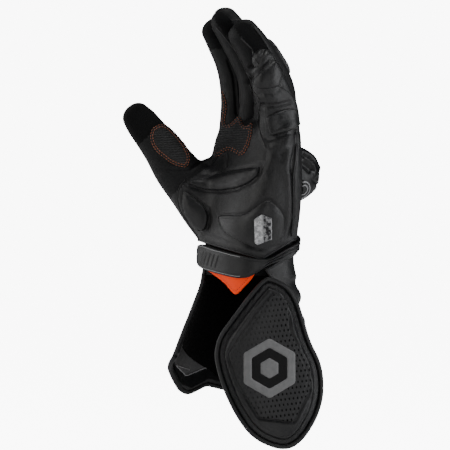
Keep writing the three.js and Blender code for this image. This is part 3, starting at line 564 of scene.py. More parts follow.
for label, value in (("Height", height), ("Tone", grain_kit.spread(slow.outputs["Fac"], 0.3, 0.7, 0.0, 1.0)),
                     ("Rub", grain_kit.spread(rub.outputs["Fac"], 0.35, 0.7, 0.0, 1.0))):
    grain_kit.set(grain_out, label, value)


def leather_material(name, dark, light, rough_low, rough_high, cells=900.0, depth=0.00016, shine=0.5):
    material, surface = principled(name, dark, rough_low)
    kit = Shader(material.node_tree)
    grain = kit.add("Group", {"node_tree": grain_kit.tree})
    grain.inputs["Cells"].default_value = cells
    kit.set(surface, "Base Color", kit.tinted(grain.outputs["Tone"], dark, light))
    kit.set(surface, "Roughness", kit.spread(grain.outputs["Rub"], 0, 1, rough_low, rough_high))
    kit.bumped(surface, grain.outputs["Height"], 0.5, depth)
    surface.inputs["Specular IOR Level"].default_value = shine
    return material


LEATHER = leather_material("smooth_black_leather", (0.0065, 0.0065, 0.007), (0.0098, 0.0098, 0.0103),
                           0.31, 0.44)


def napped_material(name, dark, light, scale, depth):
    """Suede or stretch cloth: matt, with a short nap that catches light at the edges."""
    material, surface = principled(name, dark, 0.92)
    kit = Shader(material.node_tree)
    place = kit.add("TexCoord").outputs["Object"]
    nap = kit.add("TexNoise", Vector=place, Scale=scale, Detail=4.0, Roughness=0.65)
    patch = kit.add("TexNoise", Vector=place, Scale=70.0, Detail=3.0)
    tone = kit.spread(patch.outputs["Fac"], 0.35, 0.65, 0, 1)
    kit.set(surface, "Base Color", kit.tinted(tone, dark, light))
    kit.set(surface, "Roughness", kit.spread(nap.outputs["Fac"], 0.3, 0.7, 0.8, 0.98))
    kit.bumped(surface, nap.outputs["Fac"], 0.6, depth)
    surface.inputs["Specular IOR Level"].default_value = 0.2
    surface.inputs["Sheen Weight"].default_value = 0.06
    surface.inputs["Sheen Roughness"].default_value = 0.4
    return material


SUEDE = napped_material("black_suede", (0.0025, 0.0025, 0.0028), (0.0045, 0.0045, 0.005), 1800.0, 0.0003)
FABRIC = napped_material("black_stretch_cloth", (0.002, 0.002, 0.0022), (0.0035, 0.0035, 0.0038),
                         2400.0, 0.00025)
LINING = napped_material("black_lining", (0.004, 0.004, 0.0045), (0.007, 0.007, 0.0075), 1500.0, 0.0003)
# The finger leather is darker than the hand's leather as painted shade on the fingers; its higher roughness
# and lower shine are the leather's own.
FINGER_LEATHER_PAINTED_SHADE = leather_material("finger_leather_with_painted_shade", (0.0048, 0.0048, 0.0052),
                                  (0.0072, 0.0072, 0.0077), 0.48, 0.62, shine=0.26)
for material in (LEATHER, FABRIC, SUEDE, LINING, FINGER_LEATHER_PAINTED_SHADE):
    hand.data.materials.append(material)
kind = np.full(len(outer_faces) + len(shifted), 3)
corner = np.array([face[0] for face in outer_faces])
# Finger fronts and the thumb take the finger leather, whose darker colour is painted shade.
wear_and_painted_shade = (nearest < names.index("little")) & (outer_co[:, 2] > ROOT_Z)
wear_and_painted_shade |= (nearest == names.index("thumb")) & ((outer_co - THUMB_START) @ THUMB_ALONG > 0)
kind[:len(outer_faces)] = np.select([suede_part[corner], walled[corner], wear_and_painted_shade[corner]], [2, 1, 4], 0)
hand.data.polygons.foreach_set("material_index", kind)
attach(hand, "root")
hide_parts("hand_shell", "index_stall", "middle_stall", "ring_stall", "little_stall",
            "thumb_stall", "index_tip", "thumb_tip")

# Armour on the palm side: foam pads under smooth leather, sewn into the hand and lying close on
# it. Each outline is drawn on the palm as the camera sees it, and the pad follows the leather.
PAD_PITCH = 1.15
PAD_SINK = 0.9
ANYWHERE = -400.0


def softened(points, rounds, closed=True):
    """Corners cut again and again until the outline runs round them."""
    points = np.asarray(points, float)
    for _ in range(rounds):
        after = np.roll(points, -1, axis=0)
        pairs = np.stack([0.78 * points + 0.22 * after, 0.22 * points + 0.78 * after], 1)
        if closed:
            points = pairs.reshape(-1, 2)
        else:
            points = np.vstack([points[:1], pairs[:-1].reshape(-1, 2), points[-1:]])
    return points


def evenly(points, pitch, closed=True):
    points = np.asarray(points, float)
    if closed:
        points = np.vstack([points, points[:1]])
    run = np.concatenate([[0], np.cumsum(np.linalg.norm(np.diff(points, axis=0), axis=1))])
    count = max(int(round(run[-1] / pitch)), 4)
    at = np.linspace(0, run[-1], count, endpoint=False) if closed else np.linspace(0, run[-1], count + 1)
    return np.stack([np.interp(at, run, points[:, i]) for i in range(points.shape[1])], 1)


def inside(points, outline):
    start, end = outline, np.roll(outline, -1, axis=0)
    x, y = points[:, :1], points[:, 1:]
    crossed = (start[:, 1] > y) != (end[:, 1] > y)
    slope = (end[:, 0] - start[:, 0]) * (y - start[:, 1]) / (end[:, 1] - start[:, 1] + 1e-12) + start[:, 0]
    return (crossed & (x < slope)).sum(1) % 2 == 1


def rim_distance(points, outline):
    return line_distance(points, np.vstack([outline, outline[:1]]))


def filled(outline, pitch, hole=None):
    """Even triangles inside an outline, and outside a hole if it has one."""
    rims = [evenly(outline, pitch)] + ([evenly(hole, pitch)] if hole is not None else [])
    low, high = rims[0].min(0), rims[0].max(0)
    rows = np.arange(low[1], high[1], pitch * 0.866)
    grid = np.array([(x + (j % 2) * pitch / 2, y) for j, y in enumerate(rows)
                     for x in np.arange(low[0], high[0], pitch)])
    grid = grid[inside(grid, rims[0])]
    if hole is not None:
        grid = grid[~inside(grid, rims[1])]
    for rim in rims:
        grid = grid[rim_distance(grid, rim) > pitch * 0.6]
    points = np.vstack(rims + [grid])
    edges, first = [], 0
    for rim in rims:
        edges += [(first + i, first + (i + 1) % len(rim)) for i in range(len(rim))]
        first += len(rim)
    done = delaunay_2d_cdt([Vector(p) for p in points], edges, [], 0, 1e-5)
    flat = np.array([tuple(v) for v in done[0]])
    faces = [tuple(f) for f in done[2]]
    middle = np.array([flat[list(f)].mean(0) for f in faces])
    kept = inside(middle, rims[0])
    if hole is not None:
        kept &= ~inside(middle, rims[1])
    return flat, [f for f, stays in zip(faces, kept) if stays]


def draped(flat, tree, across=RIGHT, out=OUT, nearest_out=ANYWHERE):
    """Where flat points meet a surface, looking inwards, with the surface's normals there."""
    hits, normals = np.empty((len(flat), 3)), np.empty((len(flat), 3))
    inward = Vector(-out)
    for i, (a, b) in enumerate(flat):
        origin = across * a + UP * b
        at, normal, _, _ = tree.ray_cast(Vector(origin + out * 200.0), inward)
        if at is None or Vector(out).dot(at) < nearest_out:
            at, normal, _, _ = tree.find_nearest(Vector(origin + out * max(nearest_out, -60.0)))
        hits[i], normals[i] = at, normal
    return hits, normals


def face_edges(faces):
    pairs = np.vstack([np.array(faces)[:, [i, (i + 1) % len(faces[0])]] for i in range(len(faces[0]))])
    return np.unique(np.sort(pairs, axis=1), axis=0)


def unit(vectors):
    return vectors / np.linalg.norm(vectors, axis=1)[:, None].clip(1e-9)


def closed_plate(top, bottom, faces):
    """Top and bottom share their faces, and a wall joins their open edges."""
    ways = {(a, b) for f in faces for a, b in zip(f, f[1:] + f[:1])}
    rim = [(a, b) for a, b in ways if (b, a) not in ways]
    count = len(top)
    body = list(faces) + [tuple(i + count for i in reversed(f)) for f in faces]
    body += [(b, a, a + count, b + count) for a, b in sorted(rim)]
    return np.vstack([top, bottom]), body


def layout_uv(obj, flat):
    """Keeps the flat pattern of a piece as its UV map, 100 mm to one unit."""
    layer = obj.data.uv_layers.new(name="pattern")
    index = np.empty(len(obj.data.loops), int)
    obj.data.loops.foreach_get("vertex_index", index)
    layer.data.foreach_set("uv", (flat[index] / 100.0).ravel())


def shoulder(away, width):
    t = np.clip(away / width, 0, 1)
    return np.sqrt(np.clip(1 - (1 - t) ** 2, 0, 1))


def fitted_piece(name, outline, height, tree=SKIN, pitch=PAD_PITCH, rounds=2, sink=PAD_SINK,
                 across=RIGHT, out=OUT, nearest_out=ANYWHERE, even=6, hole=None):
    """A piece that lies on a surface: height gives its rise from edge distance and flat place."""
    rim = softened(outline, rounds)
    hole = softened(hole, rounds) if hole is not None else None
    flat, faces = filled(rim, pitch, hole)
    hits, normals = draped(flat, tree, across, out, nearest_out)
    edges = face_edges(faces)
    hits = relaxed(hits, edges, 3, np.full(len(flat), 0.5))
    normals = unit(relaxed(normals, edges, even, np.full(len(flat), 0.6)))
    away = rim_distance(flat, evenly(rim, pitch))
    if hole is not None:
        away = np.minimum(away, rim_distance(flat, evenly(hole, pitch)))
    top = hits + normals * height(away, flat)[:, None]
    points, body = closed_plate(top, hits - normals * sink, faces)
    piece = mesh_object(name, points, body)
    layout_uv(piece, np.vstack([flat, flat]))
    return piece, BVHTree.FromPolygons([Vector(p) for p in top], faces)


def fastened(piece, material, slot, *nodes):
    """Gives a piece its material and body, and hides the CAD nodes that it stands for; its slot is not used.
    """
    piece.data.materials.append(material)
    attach(piece, "root")
    if nodes:
        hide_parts(*nodes)
    return piece


PAD_LEATHER = leather_material("pad_leather", (0.0068, 0.0068, 0.0073), (0.0102, 0.0102, 0.0107), 0.28, 0.4,
                               cells=850.0, depth=0.00013)
PAD_TREES = {}
for name, (outline, height, width, crown, near, lines) in PADS.items():
    half = rim_distance(np.mean(outline, axis=0)[None], np.asarray(outline, float))[0]

    def rise_at(away, flat):
        high = height * shoulder(away, width) + crown * smoothstep(0, half, away)
        for at in lines:
            high -= 0.5 * ridge(away, at, 0.55)
        return high

    pad, PAD_TREES[name] = fitted_piece("leather_" + name, outline, rise_at, nearest_out=near)
    fastened(pad, PAD_LEATHER, "leather", name)

# The slider on the heel pad: a rough cast metal plate, screwed flat on the pad, bright on one side and
# darker and pitted on the other, with darker patches here and there.
INSERT_OUTLINE = [(4, 25.5), (10, 29.5), (18, 26.5), (18, 10), (7, 5.5), (4.5, 7)]


def insert_rise(away, flat):
    rough = np.sin(flat[:, 1] * 2.1) * np.sin(flat[:, 0] * 2.9 + flat[:, 1] * 0.9)
    pitted = np.sin(flat[:, 1] * 3.7 + 1.0) * np.sin(flat[:, 0] * 4.3 - flat[:, 1] * 1.3)
    wear_and_painted_shade = smoothstep(10.0, 12.0, flat[:, 0])
    relief = (0.15 + 0.15 * wear_and_painted_shade) * rough + 0.3 * wear_and_painted_shade * pitted
    return 1.7 * shoulder(away, 1.0) + relief * smoothstep(0.6, 1.6, away)


insert, _ = fitted_piece("metal_slider_insert", INSERT_OUTLINE, insert_rise, rounds=0,
                                   tree=PAD_TREES["slider_pad"], pitch=0.55, sink=0.6)
METAL, metal_surface = principled("cast_metal", (0.5, 0.5, 0.51), 0.35, 0.9)
kit = Shader(METAL.node_tree)
place = kit.add("TexCoord").outputs["Object"]
pits = kit.add("TexVoronoi", Vector=place, Scale=620.0)
cast = kit.add("TexNoise", Vector=place, Scale=340.0, Detail=5.0, Roughness=0.7)
side = kit.add("SeparateXYZ")
kit.set(side, "0", kit.add("UVMap").outputs["UV"])
dark_side = kit.math("MULTIPLY", kit.spread(side.outputs[0], 0.1, 0.118, 0.0, 1.0),
                     kit.spread(side.outputs[0], 0.165, 0.172, 1.0, 0.25))
blotch = kit.spread(cast.outputs["Fac"], 0.46, 0.54, 0.0, 1.0)
patchy = kit.math("SUBTRACT", 1.0, kit.math("MULTIPLY", blotch, 0.5))
darkening = kit.math("MAXIMUM", kit.math("MULTIPLY", dark_side, patchy), kit.math("MULTIPLY", blotch, 0.45))
kit.set(metal_surface, "Base Color", kit.tinted(darkening, (0.66, 0.66, 0.67), (0.03, 0.03, 0.032)))
kit.set(metal_surface, "Roughness", kit.spread(cast.outputs["Fac"], 0.3, 0.7, 0.24, 0.6))
rough = kit.math("ADD", kit.math("MULTIPLY", pits.outputs["Distance"], 0.8), cast.outputs["Fac"])
kit.bumped(metal_surface, rough, 0.9, 0.0007)
fastened(insert, METAL, "metal", "slider_insert")

# Grip patches: thin ribbed leather under the fingers and inside the thumb, their edges turned
# under and held by two rows of orange-brown stitches.
PATCHES = {
    "palm_patch": ([(-20, 129.5), (-15.5, 116), (-18, 100.5), (-15, 100), (-6, 108.5), (-2.5, 96.5),
                    (4.5, 103.5), (2.5, 85), (-4.5, 72.5), (-15, 79.5), (-19.5, 77), (-24, 72.5),
                    (-29, 79.5), (-36, 90), (-36, 124), (-26, 131)], -60),
    "thumb_patch": ([(-68.5, 101), (-75, 98), (-77, 93), (-77, 87.5), (-75, 82), (-71, 77),
                     (-66.5, 73.5), (-61.5, 69.5), (-55.5, 66.5), (-47.5, 65), (-44, 73), (-48, 83.5),
                     (-53.5, 90.5), (-58, 95.5), (-62.5, 99.5)], -22),
}
STITCH_LENGTH = 1.75
STITCH_PITCH = 2.3
STITCH_RADIUS = 0.36


def stitched(name, rows, material, radius=STITCH_RADIUS, length=STITCH_LENGTH):
    """Rows of short thread bulges; each row is a list of places and normals."""
    ring = [(math.cos(k * math.pi / 3), math.sin(k * math.pi / 3)) for k in range(6)]
    profile = [(-0.5, 0.25), (-0.38, 0.8), (0.0, 1.0), (0.38, 0.8), (0.5, 0.25)]
    points, faces = [], []
    for places, normals, skip in rows:
        places, normals = np.asarray(places), np.asarray(normals)
        along = unit(np.gradient(places, axis=0))
        for at, way, up in list(zip(places, along, normals))[::skip]:
            aside = np.cross(up, way)
            first = len(points)
            for reach, size in profile:
                for c, s in ring:
                    points.append(at + way * reach * length + (aside * c + up * s * 0.8) * radius * size)
            for r in range(len(profile) - 1):
                for k in range(6):
                    n = (k + 1) % 6
                    low = first + r * 6
                    faces.append((low + k, low + n, low + 6 + n, low + 6 + k))
            faces.append(tuple(first + k for k in reversed(range(6))))
            faces.append(tuple(first + (len(profile) - 1) * 6 + k for k in range(6)))
    piece = mesh_object(name, points, faces)
    return fastened(piece, material, "textile")


def moved_in(outline, distance):
    """An outline drawn inside another, at an even distance from it."""
    rim = evenly(outline, 1.0)
    way = unit(np.roll(rim, -1, axis=0) - np.roll(rim, 1, axis=0))
    area = np.sum(rim[:, 0] * np.roll(rim[:, 1], -1) - rim[:, 1] * np.roll(rim[:, 0], -1))
    normal = np.stack([-way[:, 1], way[:, 0]], 1) * np.sign(area)
    moved = rim + normal * distance
    return moved[rim_distance(moved, rim) > distance * 0.93]


def laid_row(line, tree, pitch, lift, closed=True, across=RIGHT, out=OUT, nearest_out=ANYWHERE):
    flat = evenly(line, pitch, closed)
    places, normals = draped(flat, tree, across, out, nearest_out)
    return places + normals * lift, normals, 1


def thread_material(name, colour, bright):
    material, surface = principled(name, colour, 0.55)
    kit = Shader(material.node_tree)
    place = kit.add("TexCoord").outputs["Object"]
    strand = kit.add("TexWave", {"bands_direction": "DIAGONAL"}, Vector=place, Scale=900.0, Distortion=1.0)
    # The strands are coloured by the same wave as their bump: painted shade between them, brighter along
    # their crowns.
    kit.set(surface, "Base Color", kit.tinted(strand.outputs["Fac"], colour, bright))
    kit.bumped(surface, strand.outputs["Fac"], 0.5, 0.0001)
    surface.inputs["Sheen Weight"].default_value = 0.1
    return material


ORANGE_THREAD = thread_material("orange_brown_thread", (0.16, 0.035, 0.014), (0.42, 0.13, 0.06))
DARK_THREAD = thread_material("black_thread", (0.006, 0.006, 0.0065), (0.02, 0.02, 0.021))
GRIP, grip_surface = principled("ribbed_grip_leather", (0.006, 0.006, 0.0065), 0.7)
kit = Shader(GRIP.node_tree)
ribs = kit.add("TexWave", {"bands_direction": "Y"}, Vector=kit.add("UVMap").outputs["UV"], Scale=17.0,
               Distortion=2.4, Detail=1.5, Detail_Scale=1.6)
speck = kit.add("TexNoise", Vector=kit.add("TexCoord").outputs["Object"], Scale=1500.0, Detail=3.0)
relief = kit.math("ADD", ribs.outputs["Fac"], kit.math("MULTIPLY", speck.outputs["Fac"], 0.35))
# The ribs are coloured by the same wave as their bump: painted shade in the grooves, lighter on the rib
# tops.
kit.set(grip_surface, "Base Color",
        kit.tinted(ribs.outputs["Fac"], (0.003, 0.003, 0.0033), (0.013, 0.013, 0.0135)))
kit.set(grip_surface, "Roughness", kit.spread(speck.outputs["Fac"], 0.3, 0.7, 0.55, 0.85))
kit.bumped(grip_surface, relief, 0.8, 0.0005)
rows = []
for name, (outline, near) in PATCHES.items():
    patch, tree = fitted_piece(
        "ribbed_" + name, outline, lambda away, flat: 0.95 * shoulder(away, 0.7) + 0.15, rounds=1,
        pitch=1.0, nearest_out=near)
    fastened(patch, GRIP, "grip", name)
    for inset in (1.0, 2.7):
        line = moved_in(softened(outline, 1), inset)
        rows.append(laid_row(line, tree, STITCH_PITCH, 0.12, nearest_out=near))
stitched("orange_stitch_rows", rows, ORANGE_THREAD)

# Seams of the hand: narrow welts of folded leather, stitched from inside, down both sides of each
# finger and along the little finger's side of the hand.
WELT_RADIUS = 0.55


def tube(points, normals, radius, flatness=1.0, sides=10, closed=False, lift=0.0):
    """A round or flattened tube along a row of points, with its flat side along the surface."""
    points, normals = np.asarray(points), unit(np.asarray(normals))
    if closed:
        along = unit(np.roll(points, -1, axis=0) - np.roll(points, 1, axis=0))
    else:
        along = unit(np.gradient(points, axis=0))
    aside = unit(np.cross(normals, along))
    up = np.cross(along, aside)
    radius = np.broadcast_to(radius, len(points))[:, None]
    rings = []
    for k in range(sides):
        angle = 2 * math.pi * k / sides
        rings.append(points + up * lift + aside * radius * math.cos(angle)
                     + up * radius * flatness * math.sin(angle))
    body = np.stack(rings, 1).reshape(-1, 3)
    count = len(points)
    faces = []
    for r in range(count if closed else count - 1):
        low, high = r * sides, (r + 1) % count * sides
        for k in range(sides):
            n = (k + 1) % sides
            faces.append((low + k, high + k, high + n, low + n))
    if not closed:
        faces.append(tuple(range(sides)))
        faces.append(tuple((count - 1) * sides + k for k in reversed(range(sides))))
    return body, faces


def joined(name, parts, material, slot):
    points, faces, count = [], [], 0
    for p, f in parts:
        points.append(p)
        faces += [tuple(i + count for i in face) for face in f]
        count += len(p)
    piece = mesh_object(name, np.vstack(points), faces)
    return fastened(piece, material, slot)


def finger_line(name, edge, start, end):
    """Places on the leather down a finger, at a turn off the palm that may change with height."""
    centre, _, side, deep, _, _ = FRAMES[name]
    steps = np.linspace(start, end, 60)
    centre, side, deep = (np.stack([np.interp(steps, np.arange(len(a)), a[:, i]) for i in range(3)], 1)
                          for a in (centre, side, deep))
    turn = np.radians(edge(centre[:, 2]) if callable(edge) else edge + 0 * steps)
    way = np.cos(turn)[:, None] * deep + np.sin(turn)[:, None] * side
    places, normals = [], []
    for c, w in zip(centre, way):
        at, normal, _, _ = SKIN.ray_cast(Vector(c + w * 40.0), Vector(-w), 60.0)
        if at is None:
            at, normal, _, _ = SKIN.find_nearest(Vector(c + w * 12.0))
        places.append(at)
        normals.append(normal)
    return np.array(places), unit(np.array(normals))


FINGER_SEAMS = [
    # finger, turn off the palm (or the edge of the cloth, towards the little finger), start, end
    ("middle", -92, 10, 48), ("middle", 92, 10, 48), ("middle", "edge", 18, 48),
    ("middle", THUMB_SIDE_CLOTH, 16, 48), ("ring", -122, 10, 48), ("ring", 122, 10, 48),
    ("ring", "edge", 19, 48), ("ring", THUMB_SIDE_CLOTH, 16, 48), ("index", -80, 10, 36),
    ("little", 86, 16, 44), ("little", THUMB_SIDE_CLOTH, 16, 44),
]
welts = []
for name, edge, start, end in FINGER_SEAMS:
    if edge == "edge":
        edge = lambda z, name=name: -cloth_edge(name, z)
    places, normals = finger_line(name, edge, start, end)
    welts.append(tube(places, normals, WELT_RADIUS, 0.8, lift=0.05))
SEAM_LINES = [
    [(1.5, 131), (4, 123), (9.5, 116), (8, 108), (8.5, 92), (13.5, 80)],
    [(-48.5, 57), (-54, 50.5), (-55.5, 40.5), (-53, 31.5), (-42, 15.5), (-37.5, 9)],
]
for line in SEAM_LINES:
    places, normals, _ = laid_row(softened(line, 2, False), SKIN, 1.2, 0.0, closed=False)
    welts.append(tube(places, normals, 0.5, 0.8, lift=0.05))
joined("leather_seam_welts", welts, PAD_LEATHER, "leather")

SIDE_SEAM = [(36, 84), (38.8, 84), (37.5, 70), (35.8, 57), (36.6, 30), (34.6, 12), (32, 12),
             (33.8, 30), (33, 57), (34.8, 70)]
side_seam, _ = fitted_piece(
    "leather_side_seam", SIDE_SEAM,
    lambda away, flat: 1.25 * shoulder(away, 0.8) - 0.9 * smoothstep(0.8, 1.35, away), rounds=1, pitch=0.6,
    even=20, sink=0.6)
fastened(side_seam, PAD_LEATHER, "leather", "side_seam")

# The hem of the hand's leather is turned under and rolled over the stretch wrist band.
ways = {(a, b) for f in outer_faces for a, b in zip(f, f[1:] + f[:1])}
rim = np.array(sorted({a for a, b in ways if (b, a) not in ways}))
order = rim[np.argsort(np.arctan2(outer_co[rim, 1], outer_co[rim, 0]))]
after = np.roll(np.arange(len(order)), -1)
hem_edges = np.stack([np.arange(len(order)), after], 1)
hem_places = evenly(relaxed(outer_co[order], hem_edges, 4, np.full(len(order), 0.5)), 1.3)
hem_normals = unit(hem_places * [1, 1, 0])
joined("leather_hem_roll", [tube(hem_places - hem_normals * 0.9, hem_normals, 1.25, 1.25, closed=True)],
       LEATHER, "leather")

# Padded armour over the middle joints, on the backs of three fingers: stitched leather over foam.
BACKWARD = np.array([1.0, 0, 0])
KNUCKLE_PADS = [
    # finger, middle to the thumb, height, its length and width, rise
    ("index", 37.0, 148, 26, 17, 3.0), ("middle", 12.5, 154, 26, 17, 2.7), ("ring", -11.0, 152, 28, 17, 2.9),
]
for finger, middle, at, length, width, high in KNUCKLE_PADS:
    long, wide = length / 2, width / 2
    cut = wide / 2
    outline = [(middle - cut, at - long), (middle + cut, at - long), (middle + wide, at - cut),
               (middle + wide, at + cut), (middle + cut, at + long), (middle - cut, at + long),
               (middle - wide, at + cut), (middle - wide, at - cut)]
    pad, tree = fitted_piece(
        "leather_" + finger + "_pad", outline,
        lambda away, flat: high * shoulder(away, 3.0) - 0.4 * ridge(away, 1.5, 0.5)
        - 0.4 * ridge(away, 4.6, 0.6), across=THUMBWARD, out=BACKWARD)
    fastened(pad, PAD_LEATHER, "leather", finger + "_pad")

# The knuckle guard: one glossy moulded shell riveted over the knuckles, with a rim, a raised
# brow and four sunk vents, and a plain ringed badge at its little finger's side.
GUARD = [
    # out from the middle of the hand, across, height, its height and width
    (12, -1, 60.5, 49, 86), (25.5, -1, 60.5, 48, 84), (35, -2, 61, 43, 77), (42, -3, 61.5, 34, 66),
    (46, -4, 62, 22, 52), (47.5, -4, 62, 10, 34),
]
GUARD_POWER = 3.2
VENTS = [
    # across, height, half its width and height, lean
    (-29, 62, 2.6, 9.5, 0.12), (-12, 62, 2.6, 9.5, 0.12), (5, 62, 2.6, 9.5, 0.12), (22, 62, 2.6, 9.5, 0.12),
]
BADGE = (24.0, 48.0)
BADGE_RADIUS = 8.2
BADGE_RINGS = (3.6, 6.2)
LITTLEWARD = np.array([0, -1.0, 0])


# Forms of the shell's side, drawn as the camera sees it: the line, half width and height
GUARD_LINES = [
    ([(42.5, 76), (46.5, 74), (50.0, 71)], 1.0, -2.4),
    ([(41, 79), (47, 77), (52, 73), (54.5, 67)], 1.1, 0.8),
    ([(43, 73), (48, 70.5), (51, 67), (52, 63)], 0.8, 1.1),
    ([(43, 68), (45.5, 66), (48, 64)], 2.2, -2.4),
]


def guard_loft():
    return loft([section(np.array([x, y, z]), THUMBWARD, UP, width / 2, height / 2, 90, GUARD_POWER)
                 for x, y, z, height, width in smooth_rows(GUARD, 6)])


guard_mesh = fused("guard", [guard_loft()], 0.9)
guard_co, guard_edges = mesh_arrays(guard_mesh)
guard_co = relaxed(guard_co, guard_edges, 3, np.full(len(guard_co), 0.5))
guard_faces = [tuple(f.vertices) for f in guard_mesh.polygons]
guard_normals = point_normals(guard_co, guard_faces)
rise = 1.0 * np.exp(-((guard_co[:, 2] - 76 + 0.012 * (guard_co[:, 1] + 3) ** 2) / 2.2) ** 2)
rise -= 0.8 * np.exp(-((guard_co[:, 2] - 46.5 - 0.006 * (guard_co[:, 1] + 3) ** 2) / 1.0) ** 2)
rise *= smoothstep(0.2, 0.6, guard_normals[:, 0])
for middle, at, half_wide, half_high, lean in VENTS:
    across = np.abs(guard_co[:, 1] - middle - lean * (guard_co[:, 2] - at)) / half_wide
    along = np.abs(guard_co[:, 2] - at) / half_high
    inside_vent = (across ** 4 + along ** 4) ** 0.25
    depth = 0.5 * ridge(inside_vent, 1.35, 0.22) - 3.4 * (1 - smoothstep(0.8, 1.15, inside_vent))
    rise += depth * smoothstep(0.3, 0.6, guard_normals[:, 0])
seen_side = smoothstep(0.0, 0.3, guard_normals @ OUT)
guard_flat = np.stack([guard_co @ RIGHT, guard_co[:, 2]], 1)
for line, half_width, height in GUARD_LINES:
    rise += height * ridge(line_distance(guard_flat, line), 0, half_width) * seen_side
guard_co = guard_co + guard_normals * rise[:, None]
buried = np.zeros(len(guard_co), bool)
for i, at in enumerate(guard_co):
    near_at, near_normal, _, _ = SKIN.find_nearest(Vector(at))
    buried[i] = (Vector(at) - near_at).dot(near_normal) < -1.2
guard_faces = [f for f in guard_faces if not buried[list(f)].any()]
kept = np.unique([i for f in guard_faces for i in f])
order = np.full(len(guard_co), -1)
order[kept] = np.arange(len(kept))
guard_faces = [tuple(order[i] for i in f) for f in guard_faces]
guard = mesh_object("moulded_knuckle_guard", guard_co[kept], guard_faces)
GUARD_TREE = BVHTree.FromPolygons([Vector(p) for p in guard_co[kept]], guard_faces)
GLOSS, gloss_surface = principled("gloss_black_shell", (0.0025, 0.0025, 0.003), 0.2)
kit = Shader(GLOSS.node_tree)
place = kit.add("TexCoord").outputs["Object"]
scuff = kit.add("TexNoise", Vector=place, Scale=90.0, Detail=6.0, Roughness=0.75)
kit.set(gloss_surface, "Roughness", kit.spread(scuff.outputs["Fac"], 0.35, 0.7, 0.26, 0.5))
gloss_surface.inputs["Specular IOR Level"].default_value = 0.35
ripple = kit.add("TexNoise", Vector=place, Scale=55.0, Detail=2.0)
kit.bumped(gloss_surface, ripple.outputs["Fac"], 0.15, 0.001)
fastened(guard, GLOSS, "hard", "knuckle_guard")

circle = [(BADGE[0] + BADGE_RADIUS * math.cos(a), BADGE[1] + BADGE_RADIUS * math.sin(a))
          for a in np.linspace(0, 2 * math.pi, 48, endpoint=False)]
badge, BADGE_TREE = fitted_piece("ringed_badge", circle, lambda away, flat: 1.1 * shoulder(away, 0.7),
                                 tree=GUARD_TREE, pitch=0.5, rounds=0, sink=0.5, across=BACKWARD,
                                 out=LITTLEWARD, nearest_out=20.0)
RUBBER, rubber_surface = principled("matt_black_rubber", (0.0085, 0.0085, 0.009), 0.6)
kit = Shader(RUBBER.node_tree)
speck = kit.add("TexNoise", Vector=kit.add("TexCoord").outputs["Object"], Scale=1400.0, Detail=4.0)
tone = kit.add("TexNoise", Vector=kit.add("TexCoord").outputs["Object"], Scale=60.0, Detail=4.0)
kit.set(rubber_surface, "Base Color",
        kit.tinted(tone.outputs["Fac"], (0.0065, 0.0065, 0.007), (0.011, 0.011, 0.0115)))
kit.set(rubber_surface, "Roughness", kit.spread(speck.outputs["Fac"], 0.3, 0.7, 0.46, 0.66))
kit.bumped(rubber_surface, speck.outputs["Fac"], 0.35, 0.00015)
fastened(badge, RUBBER, "rubber", "guard_badge")
rings = []
for radius in BADGE_RINGS:
    circle = [(BADGE[0] + radius * math.cos(a), BADGE[1] + radius * math.sin(a))
              for a in np.linspace(0, 2 * math.pi, 48, endpoint=False)]
    places, normals, _ = laid_row(circle, BADGE_TREE, 0.6, 0.0, across=BACKWARD, out=LITTLEWARD)
    rings.append(tube(places, normals, 0.55, 0.6, sides=6, closed=True, lift=0.1))
PALE_PAINT, _ = principled("pale_grey_paint", (0.36, 0.36, 0.37), 0.35)
joined("badge_rings", rings, PALE_PAINT, "grey")

# The wrist: an elastic band gathered in fine ribs inside the leather, a rubber-faced strap laid
# over it from the thumb round the little finger's side, and an orange leather tongue below it.
BAND_TOP, BAND_BOTTOM = 14.0, -18.0
STRAP = [
    # angle round the wrist, upper and lower edge
    (130, 5, -8), (140, 6, -11), (147, 6, -13), (160, 5, -14.5), (180, 3, -16), (205, 1, -18),
    (226, -1.5, -20), (238, -3.5, -19.5), (247, -4.5, -15.6), (259, -5, -10), (280, 3, -5),
    (300, 8.5, 0), (320, 13.5, 5), (350, 14.5, 4.5), (400, 12, 0),
]
STRAP_LOW, STRAP_HIGH = 0.6, 3.3
TAB_OUTLINE = [(-34, -12), (-34, -14), (-31, -15.5), (-19, -24), (-12.5, -32), (-10, -33), (-8, -31.5),
               (6, -17), (6, -12)]


def arm_points(rows, power, degrees, z, height):
    """Points on the wrist's or the gauntlet's sections, at an angle, a height and a stand-off."""
    rows = np.asarray(rows, float)
    rows = rows[np.argsort(rows[:, 0])]
    x, y, depth, width = (np.interp(z, rows[:, 0], rows[:, i]) for i in (1, 2, 3, 4))
    turn = np.radians(degrees)
    c, s = np.cos(turn), np.sin(turn)
    reach = (np.abs(c / (depth / 2)) ** power + np.abs(s / (width / 2)) ** power) ** (-1 / power) + height
    return np.stack([x + reach * c, y + reach * s, z + 0 * reach], -1)


def grid_sheet(top, bottom, closed_round=False):
    """A closed sheet between two grids of points."""
    rows, columns = top.shape[:2]
    index = np.arange(rows * columns).reshape(rows, columns)
    if closed_round:
        index = np.vstack([index, index[:1]])
    a, b, c, d = index[:-1, :-1], index[1:, :-1], index[1:, 1:], index[:-1, 1:]
    faces = [tuple(q) for q in np.stack([a, b, c, d], -1).reshape(-1, 4)]
    return closed_plate(top.reshape(-1, 3), bottom.reshape(-1, 3), faces)


def facing_out(points, faces):
    """The same body with its faces turned outwards."""
    first = np.array([f[:3] for f in faces])
    a, b, c = (points[first[:, i]] for i in range(3))
    if np.einsum("ij,ij->i", a, np.cross(b, c)).sum() < 0:
        return points, [tuple(reversed(f)) for f in faces]
    return points, faces


